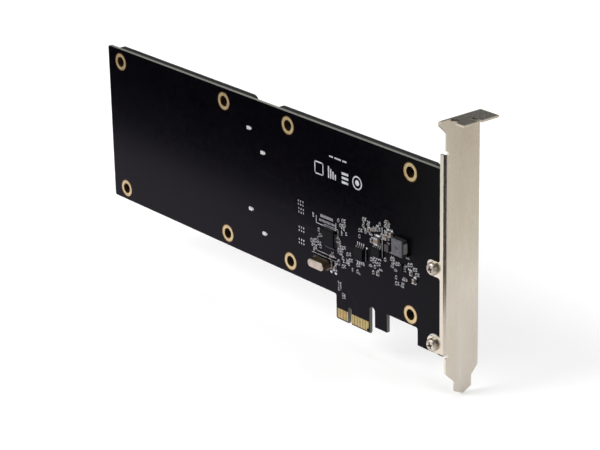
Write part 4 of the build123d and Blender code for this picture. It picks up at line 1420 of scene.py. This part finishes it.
@dataclass
class SolderWork(Dressing):
    """Pads and solder on the near face, where the parts and pegs are joined to the board.

    A row of empty pads has its Z, its first and its last X, and the pads' height.
    """

    pad_t: float = 0.03
    pad_margin: float = 0.12
    fillet_rise: float = 0.62
    fillet_spread: float = 0.5
    least_spread: float = 0.25
    fillet_points: int = 5
    lead_spare: dict[str, float] = field(default_factory=lambda: {
        "controller": 0.2, "memory": 0.95, "regulator": 0.35, "switch": 0.35,
    })
    lead_pad_back: float = 1.8
    lead_pad_half: float = 0.56
    lead_mound_half: float = 0.45
    lead_mound_reach: float = 0.24
    lead_mound_shift: float = 0.05
    lead_mound_rise: float = 0.09
    lead_mound_sides: int = 10
    pad_groups: tuple[Point, ...] = ((-31.1, 45.8), (-30.9, 42.3), (-30.9, 33.9), (-31.0, 28.2))
    group_pitch: Point = (1.5, 0.8)
    group_pad_half: Point = (0.3, 0.42)
    pad_rows: tuple[tuple[float, float, float, float], ...] = (
        (44.0, -18.0, -10.4, 1.3), (41.9, -18.8, -8.9, 1.1),
    )
    row_count: int = 13
    row_pad_half: float = 0.2
    ladder_columns: tuple[Point, ...] = ((-12.3, -10.9), (-9.4, -8.0))
    ladder_start: float = 20.4
    ladder_pitch: float = 1.5
    ladder_count: int = 4
    ladder_pad_half: float = 0.45
    peg_mound: Point = (1.75, 0.8)
    peg_mound_rise: float = 0.8
    peg_mound_sides: int = 24
    tab_size: Place = (0.12, 2.0, 4.4)

    def dress(self) -> None:
        """Lay every pad and every fillet."""
        self.chip_fillets()
        self.lead_pads()
        self.empty_pads()
        self.peg_joints()
        self.inductor_tabs()

    @property
    def pad_top(self) -> float:
        """Give the Y plane of the pads' surface."""
        return self.card.near - self.pad_t

    @staticmethod
    def ends(end: Block, middle: Vector, axis: int) -> tuple[int, float, float]:
        """Find which way a metal end points, away from its part's middle.

        Args:
            end: The metal end or the lead.
            middle: The part's middle.
            axis: The axis that it points along, 0 for X and 2 for Z.

        Returns:
            Its way along the axis, and the places of its outer and of its inner face.
        """
        low, high = end.low[axis], end.high[axis]
        return (1, high, low) if end.middle[axis] > middle[axis] else (-1, low, high)

    def pad(self, pads: Piece, axis: int, along: Sequence[float], across: Sequence[float]) -> None:
        """Lay a pad that runs along X or along Z.

        Args:
            pads: The piece that takes the pad.
            axis: The axis that it runs along, 0 for X and 2 for Z.
            along: Its lowest and highest place on that axis.
            across: Its lowest and highest place on the other one.
        """
        (left, right), (low, high) = (along, across) if axis == 0 else (across, along)
        pads.bar((left, low), (right, high), self.card.near, self.pad_top)

    def concave(self, reach: float, height: float) -> list[Point]:
        """Draw the section of a fillet: outward and upward, hollow between.

        Args:
            reach: How far it spreads over the board.
            height: How high it climbs.

        Returns:
            The section's corners.
        """
        section = [(0.0, 0.0)]
        for step in range(self.fillet_points):
            turn = step / (self.fillet_points - 1) * math.pi / 2
            section.append((reach * (1 - math.sin(turn)), height * (1 - math.cos(turn))))
        return section

    def chip_fillets(self) -> None:
        """Solder the two ends of each small part."""
        fillets = Piece("solder_fillets")
        pads = Piece("soldered_pads")
        for kind in ("capacitor", "resistor"):
            bodies = self.card.solids(kind + "_bodies")
            for end in self.card.solids(kind + "_ends"):
                body = min(bodies, key=lambda b: (b.middle - end.middle).length)
                self.end_joint(fillets, pads, end, body.middle)
        pads.finish(self.palette.tin)
        fillets.finish(self.palette.tin, smooth=True)

    def end_joint(self, fillets: Piece, pads: Piece, end: Block, body_middle: Vector) -> None:
        """Solder one end of a small part.

        Args:
            fillets: The piece that takes the fillet.
            pads: The piece that takes the pad.
            end: The metal end.
            body_middle: Middle of the part that it belongs to.
        """
        away = end.middle - body_middle
        axis = 0 if abs(away.x) > abs(away.z) else 2
        cross = 2 - axis
        way, outer, inner = self.ends(end, body_middle, axis)
        height = self.card.near - end.low.y
        reach = max(self.least_spread, height * self.fillet_spread)
        middle, half = end.middle[cross], end.size[cross] / 2
        rings = []
        for side in (-1, 1):
            ring = []
            for out, up in self.concave(reach, height * self.fillet_rise):
                point = Vector((0, self.pad_top - up, 0))
                point[axis] = outer + way * out
                point[cross] = middle + side * half
                ring.append(point)
            rings.append(ring)
        fillets.loft(rings)
        along = sorted((inner, outer + way * (reach + self.pad_margin)))
        self.pad(pads, axis, along, (middle - half - self.pad_margin, middle + half + self.pad_margin))

    def lead_pads(self) -> None:
        """Lay a pad and a low mound of solder at each lead's foot."""
        for chip, spare in self.lead_spare.items():
            pads = Piece(chip + "_lead_pads")
            mounds = Piece(chip + "_lead_solder")
            middle = self.card.block(chip + "_chip").middle
            for lead in self.card.solids(chip + "_leads"):
                axis = 0 if lead.size.x > lead.size.z else 2
                way, tip, _ = self.ends(lead, middle, axis)
                centre, width = lead.middle[2 - axis], lead.size[2 - axis]
                along = sorted((tip - way * width * self.lead_pad_back, tip + way * spare))
                half = width * self.lead_pad_half
                self.pad(pads, axis, along, (centre - half, centre + half))
                at = (tip + way * self.lead_mound_shift, centre)
                radii = (self.lead_mound_reach, width * self.lead_mound_half)
                if axis == 2:
                    at, radii = at[::-1], radii[::-1]
                mounds.dome(at, radii, self.pad_top, self.lead_mound_rise, self.lead_mound_sides)
            finish = self.palette.fine_lead if chip == "controller" else self.palette.tin
            pads.finish(finish)
            mounds.finish(finish, smooth=True)

    def empty_pads(self) -> None:
        """Lay the tinned pads of the places that carry no part."""
        pads = Piece("empty_pads")
        column_pitch, row_pitch = self.group_pitch
        for x, z in self.pad_groups:
            for column in (-1, 0, 1):
                for row in (-1, 1):
                    at = (x + column * column_pitch, z + row * row_pitch)
                    self.even_pad(pads, at, self.group_pad_half)
        for z, start, stop, height in self.pad_rows:
            pitch = (stop - start) / (self.row_count - 1)
            for step in range(self.row_count):
                self.even_pad(pads, (start + step * pitch, z), (self.row_pad_half, height / 2))
        for step in range(self.ladder_count):
            z = self.ladder_start + step * self.ladder_pitch
            for column in self.ladder_columns:
                self.pad(pads, 0, column, (z - self.ladder_pad_half, z + self.ladder_pad_half))
        pads.finish(self.palette.tin)

    def even_pad(self, pads: Piece, at: Point, half: Point) -> None:
        """Lay a pad that reaches equally far both ways.

        Args:
            pads: The piece that takes the pad.
            at: X and Z of its middle.
            half: How far it reaches along X and Z.
        """
        self.pad(pads, 0, (at[0] - half[0], at[0] + half[0]), (at[1] - half[1], at[1] + half[1]))

    def peg_joints(self) -> None:
        """Solder the socket pegs where they pass through to the near face."""
        joints = Piece("peg_solder")
        for side in ("left", "right"):
            for peg in self.card.solids(side + "_socket_pegs"):
                rise = (self.card.near - peg.low.y) * self.peg_mound_rise
                at = (peg.middle.x, peg.middle.z)
                joints.dome(at, self.peg_mound, self.card.near, rise, self.peg_mound_sides)
        joints.finish(self.palette.peg_joint, smooth=True)

    def inductor_tabs(self) -> None:
        """Wrap the inductor's terminals up its two ends."""
        tabs = Piece("inductor_side_tabs")
        body = self.card.block("power_inductor")
        thick, rise, width = self.tab_size
        low, high = body.middle.z - width / 2, body.middle.z + width / 2
        for start in (body.low.x - thick, body.high.x):
            tabs.bar((start, low), (start + thick, high), self.pad_top, self.pad_top - rise)
        tabs.finish(self.palette.dull_terminal)


@dataclass
class BracketDressing(Dressing):
    """The slot bracket with its screws and nuts."""

    thread_r: float = 1.5
    thread_crest: float = 0.12
    thread_half: float = 0.1
    thread_start: float = 0.5
    thread_steps: int = 24
    finishes: dict[str, str] = field(default_factory=lambda: {
        "slot_bracket": "bracket", "bracket_screws": "fastener", "bracket_nuts": "fastener",
    })

    def dress(self) -> None:
        """Lay the finishes and cut the screw ends' threads."""
        self.lay_finishes(self.finishes)
        self.screw_threads()

    def screw_threads(self) -> None:
        """Wind one turn of thread round each screw's end beyond its nut."""
        threads = Piece("screw_end_threads")
        section = ((0.0, -self.thread_half), (self.thread_crest, 0.0), (0.0, self.thread_half))
        for screw, nut in zip(self.card.solids("bracket_screws"), self.card.solids("bracket_nuts")):
            rise = (screw.high.y - nut.high.y) / 2
            for step in range(self.thread_steps):
                rings = []
                for share in (step / self.thread_steps, (step + 1) / self.thread_steps):
                    turn = share * math.tau
                    y = nut.high.y + rise * (self.thread_start + share)
                    rings.append([
                        Vector((
                            screw.middle.x + (self.thread_r + out) * math.cos(turn), y + up,
                            screw.middle.z + (self.thread_r + out) * math.sin(turn),
                        ))
                        for out, up in section
                    ])
                threads.loft(rings)
        threads.finish(self.palette.fastener)


@dataclass
class ChipDressing(Dressing):
    """The moulded chips and the other parts soldered on the near face."""

    mark_t: float = 0.01
    dimple_inset: float = 0.17
    dimple_share: float = 0.06
    dimple_hole: float = 0.6
    dimple_sides: int = 20
    dot_reach: Point = (1.0, 0.75)
    dot_sides: int = 24
    finishes: dict[str, str] = field(default_factory=lambda: {
        "controller_chip": "chip", "controller_leads": "fine_lead", "memory_chip": "chip",
        "memory_leads": "lead", "regulator_chip": "chip", "regulator_leads": "lead",
        "switch_chip": "chip", "switch_leads": "lead", "crystal_can": "crystal",
        "crystal_base": "crystal_base", "power_inductor": "inductor", "inductor_terminals": "dull_terminal",
        "power_diode": "diode", "diode_terminals": "tin", "capacitor_bodies": "capacitor",
        "capacitor_ends": "tin", "resistor_bodies": "resistor", "resistor_ends": "tin",
    })

    def dress(self) -> None:
        """Lay the finishes and add the moulded and printed details."""
        self.lay_finishes(self.finishes)
        self.corner_dimples()
        self.inductor_dot()

    def corner_dimples(self) -> None:
        """Mark the first lead's corner of each chip with a shallow moulded ring."""
        dimples = Piece("chip_corner_dimples")
        for chip in ("controller", "memory", "regulator"):
            body = self.card.block(chip + "_chip")
            inset, radius = body.size.x * self.dimple_inset, body.size.x * self.dimple_share
            at = (body.low.x + inset, body.high.z - inset)
            top = body.low.y - self.mark_t
            dimples.hoop(at, radius, radius * self.dimple_hole, body.low.y, top, self.dimple_sides)
        dimples.finish(self.palette.chip)

    def inductor_dot(self) -> None:
        """Lay the plain dark ink dot on the inductor."""
        body = self.card.block("power_inductor")
        dot = Piece("inductor_ink_dot")
        at = (body.middle.x, body.middle.z)
        dot.dome(at, self.dot_reach, body.low.y, self.mark_t, self.dot_sides)
        dot.finish(self.palette.inductor_mark)


@dataclass
class DriveDressing(Dressing):
    """The two drives on the far side, with their plugs and board sockets."""

    finishes: dict[str, str] = field(default_factory=lambda: {
        "socket_housing": "socket", "socket_contacts": "spring", "socket_pegs": "peg",
        "drive_base": "case", "drive_cover": "lid", "drive_case_screws": "case_screw",
        "drive_inner_board": "inner_board", "drive_flash_chips": "chip", "drive_controller": "chip",
        "drive_plug": "socket", "drive_plug_contacts": "spring",
    })

    def dress(self) -> None:
        """Lay the finishes on both drives."""
        for side in ("left_", "right_"):
            self.lay_finishes(self.finishes, side)


@dataclass
class Lamp:
    """One soft square lamp. Sizes are metres."""

    name: str
    at: Place
    aim: Place
    size: float
    power: float

    def hang(self) -> None:
        """Put the lamp in the studio."""
        light = bpy.data.lights.new(self.name, "AREA")
        light.shape = "SQUARE"
        light.size = self.size
        light.energy = self.power
        lamp = put(self.name, light)
        lamp.location = self.at
        way = Vector(self.aim) - Vector(self.at)
        lamp.rotation_euler = way.to_track_quat("-Z", "Y").to_euler()


@dataclass
class Reflector:
    """A card laid on the floor, which only reflections show. Sizes are metres."""

    name: str
    corners: tuple[Point, ...]
    tone: Colour
    lift: float

    def lay(self, floor_z: float) -> None:
        """Put the card in the studio.

        Args:
            floor_z: Height of the floor.
        """
        shape = bmesh.new()
        shape.faces.new([shape.verts.new((x, y, floor_z + self.lift)) for x, y in self.corners])
        card = put(self.name, mesh_of(self.name, shape, self.material()))
        card.visible_camera = False
        card.visible_diffuse = False
        card.visible_shadow = False
        card.visible_transmission = False
        card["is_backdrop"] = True

    def material(self) -> bpy.types.Material:
        """Give the card an even brightness.

        Returns:
            The card's material.
        """
        made = bpy.data.materials.new(self.name)
        wiring = Wiring.fresh(made)
        glow = wiring.add("Emission")
        wiring.feed(glow.inputs[0], self.tone)
        wiring.surface(glow.outputs[0])
        return made


@dataclass
class Studio:
    """The camera, the pale floor, the lamps and the light from all round. Sizes are metres."""

    camera_at: Place = (0.67621, -0.57932, 0.39784)
    azimuth: float = 50.750
    elevation: float = 21.614
    roll: float = -1.156
    lens: float = 138.94
    sensor: float = 36.0
    sight: float = 50.0
    floor_half: float = 6.0
    floor_cells: int = 8
    floor_tone: Colour = (0.82, 0.82, 0.82)
    floor_glow: float = 0.24
    fill: float = 0.38
    ceiling: float = 0.05
    ceiling_range: Range = (0.02, 0.3)
    lamps: tuple[Lamp, ...] = (
        Lamp("key_softbox", (-0.9, -1.5, 1.2), (-0.05, 0.0, 0.03), 1.2, 26.0),
        Lamp("side_softbox", (1.6, 0.3, 0.9), (0.05, 0.0, 0.03), 1.0, 6.0),
        Lamp("top_softbox", (0.0, 0.1, 2.0), (0.0, 0.0, 0.0), 1.6, 12.0),
        Lamp("rear_softbox", (-0.5, 1.7, 1.0), (-0.05, 0.0, 0.04), 1.2, 9.0),
    )
    reflectors: tuple[Reflector, ...] = (
        Reflector(
            "plate_card", ((0.16, 0.0), (1.2, 0.0), (1.2, 1.2), (0.16, 1.2)),
            (0.8, 0.77, 0.7), 0.0002,
        ),
        Reflector(
            "foot_card", ((-0.6, -0.004), (-0.6, -0.085), (0.055, -0.085), (0.055, -0.004)),
            (1.55, 1.42, 1.68), 0.0002,
        ),
        Reflector(
            "field_flag", ((-1.6, -0.09), (-1.6, -1.8), (0.2, -1.8), (0.2, -0.09)),
            (0.01, 0.01, 0.01), 0.0004,
        ),
        Reflector(
            "bend_flag",
            ((0.0125, -0.092), (-0.32, -0.7), (0.7, -0.7), (0.7, 0.1), (0.158, 0.01), (0.124, -0.08)),
            (0.02, 0.02, 0.02), 0.0006,
        ),
        Reflector(
            "flange_card",
            ((0.058, -0.002), (0.04, -0.004), (-0.06, -0.1), (-0.53, -0.52), (-0.28, -0.62)),
            (1.5, 1.48, 1.42), 0.0008,
        ),
    )

    def build(self, floor_z: float) -> None:
        """Set up the whole studio.

        Args:
            floor_z: Height of the floor.
        """
        self.place_camera()
        self.lay_floor(floor_z)
        self.light_world()
        for lamp in self.lamps:
            lamp.hang()
        for card in self.reflectors:
            card.lay(floor_z)
        bpy.context.scene.view_settings.view_transform = "Standard"

    def place_camera(self) -> None:
        """Aim the camera as the photograph was taken."""
        turn, lift = math.radians(self.azimuth), math.radians(self.elevation)
        forward = Vector((
            -math.sin(turn) * math.cos(lift), math.cos(turn) * math.cos(lift), -math.sin(lift)
        ))
        level = Vector((math.cos(turn), math.sin(turn), 0.0))
        above = level.cross(forward)
        tilt = math.radians(self.roll)
        right = level * math.cos(tilt) + above * math.sin(tilt)
        up = above * math.cos(tilt) - level * math.sin(tilt)
        view = bpy.data.cameras.new("photo_camera")
        view.lens = self.lens
        view.sensor_width = self.sensor
        view.clip_end = self.sight
        camera = put("photo_camera", view)
        turned = Matrix((right, up, -forward)).transposed().to_4x4()
        camera.matrix_world = Matrix.Translation(self.camera_at) @ turned
        bpy.context.scene.camera = camera

    def lay_floor(self, floor_z: float) -> None:
        """Lay a pale floor under the card.

        Args:
            floor_z: Height of the floor.
        """
        shape = bmesh.new()
        cells = self.floor_cells
        bmesh.ops.create_grid(shape, x_segments=cells, y_segments=cells, size=self.floor_half)
        floor = put("studio_floor", mesh_of("studio_floor", shape, self.floor_material()))
        floor.location = (0, 0, floor_z)
        floor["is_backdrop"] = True

    @staticmethod
    def in_mirrors(wiring: Wiring, paths: bpy.types.Node) -> bpy.types.NodeSocket:
        """Tell whether a ray is a mirrored one or one that went through something clear."""
        return wiring.maths("MAXIMUM", paths.outputs["Is Glossy Ray"], paths.outputs["Is Transmission Ray"])

    def floor_material(self) -> bpy.types.Material:
        """Paint the floor so that it reads white and still keeps the card's shadow.

        Returns:
            The floor's material.
        """
        made = bpy.data.materials.new("pale_floor")
        wiring = Wiring.fresh(made)
        matt = wiring.add("BsdfDiffuse")
        wiring.feed(matt.inputs[0], self.floor_tone)
        glow = wiring.add("Emission")
        paths = wiring.add("LightPath")
        mirrored = self.in_mirrors(wiring, paths)
        shown = wiring.maths("MAXIMUM", paths.outputs["Is Camera Ray"], mirrored)
        wiring.feed(glow.inputs[1], wiring.maths("MULTIPLY", shown, self.floor_glow))
        both = wiring.add("AddShader")
        wiring.feed(both.inputs[0], matt.outputs[0])
        wiring.feed(both.inputs[1], glow.outputs[0])
        wiring.surface(both.outputs[0])
        return made

    def light_world(self) -> None:
        """Surround the card: white at eye level, a dim ceiling, and even light for its surfaces."""
        world = bpy.data.worlds.new("studio_surround")
        bpy.context.scene.world = world
        wiring = Wiring.fresh(world)
        split = wiring.add("SeparateXYZ")
        wiring.feed(split.inputs[0], wiring.add("TexCoord").outputs["Generated"])
        overhead = wiring.remap(split.outputs[2], self.ceiling_range, (1.0, self.ceiling))
        paths = wiring.add("LightPath")
        shown = wiring.blend(self.in_mirrors(wiring, paths), 1.0, overhead, "FLOAT")
        strength = wiring.blend(paths.outputs["Is Diffuse Ray"], shown, self.fill, "FLOAT")
        light = wiring.add("Background")
        wiring.feed(light.inputs[0], (1.0, 1.0, 1.0))
        wiring.feed(light.inputs[1], strength)
        wiring.surface(light.outputs[0], "OutputWorld")


def corners(limits: Iterable[Vector]) -> list[list[float]]:
    """Turn two corners into plain lists of numbers."""
    return [[float(value) for value in corner] for corner in limits]


def main() -> None:
    """Dress the card and set up the studio, with the floor at the card's lowest point."""
    logging.basicConfig(level=logging.INFO, format="%(message)s")
    cad_limits = corners(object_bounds())
    card = CardFrame(frame["nodes"])
    palette = Palette()
    BoardDressing(card, palette).dress()
    BoardPrint(card, palette).dress()
    SolderWork(card, palette).dress()
    BracketDressing(card, palette).dress()
    ChipDressing(card, palette).dress()
    DriveDressing(card, palette).dress()
    Studio().build(cad_limits[0][2])


if __name__ == "__main__":
    main()
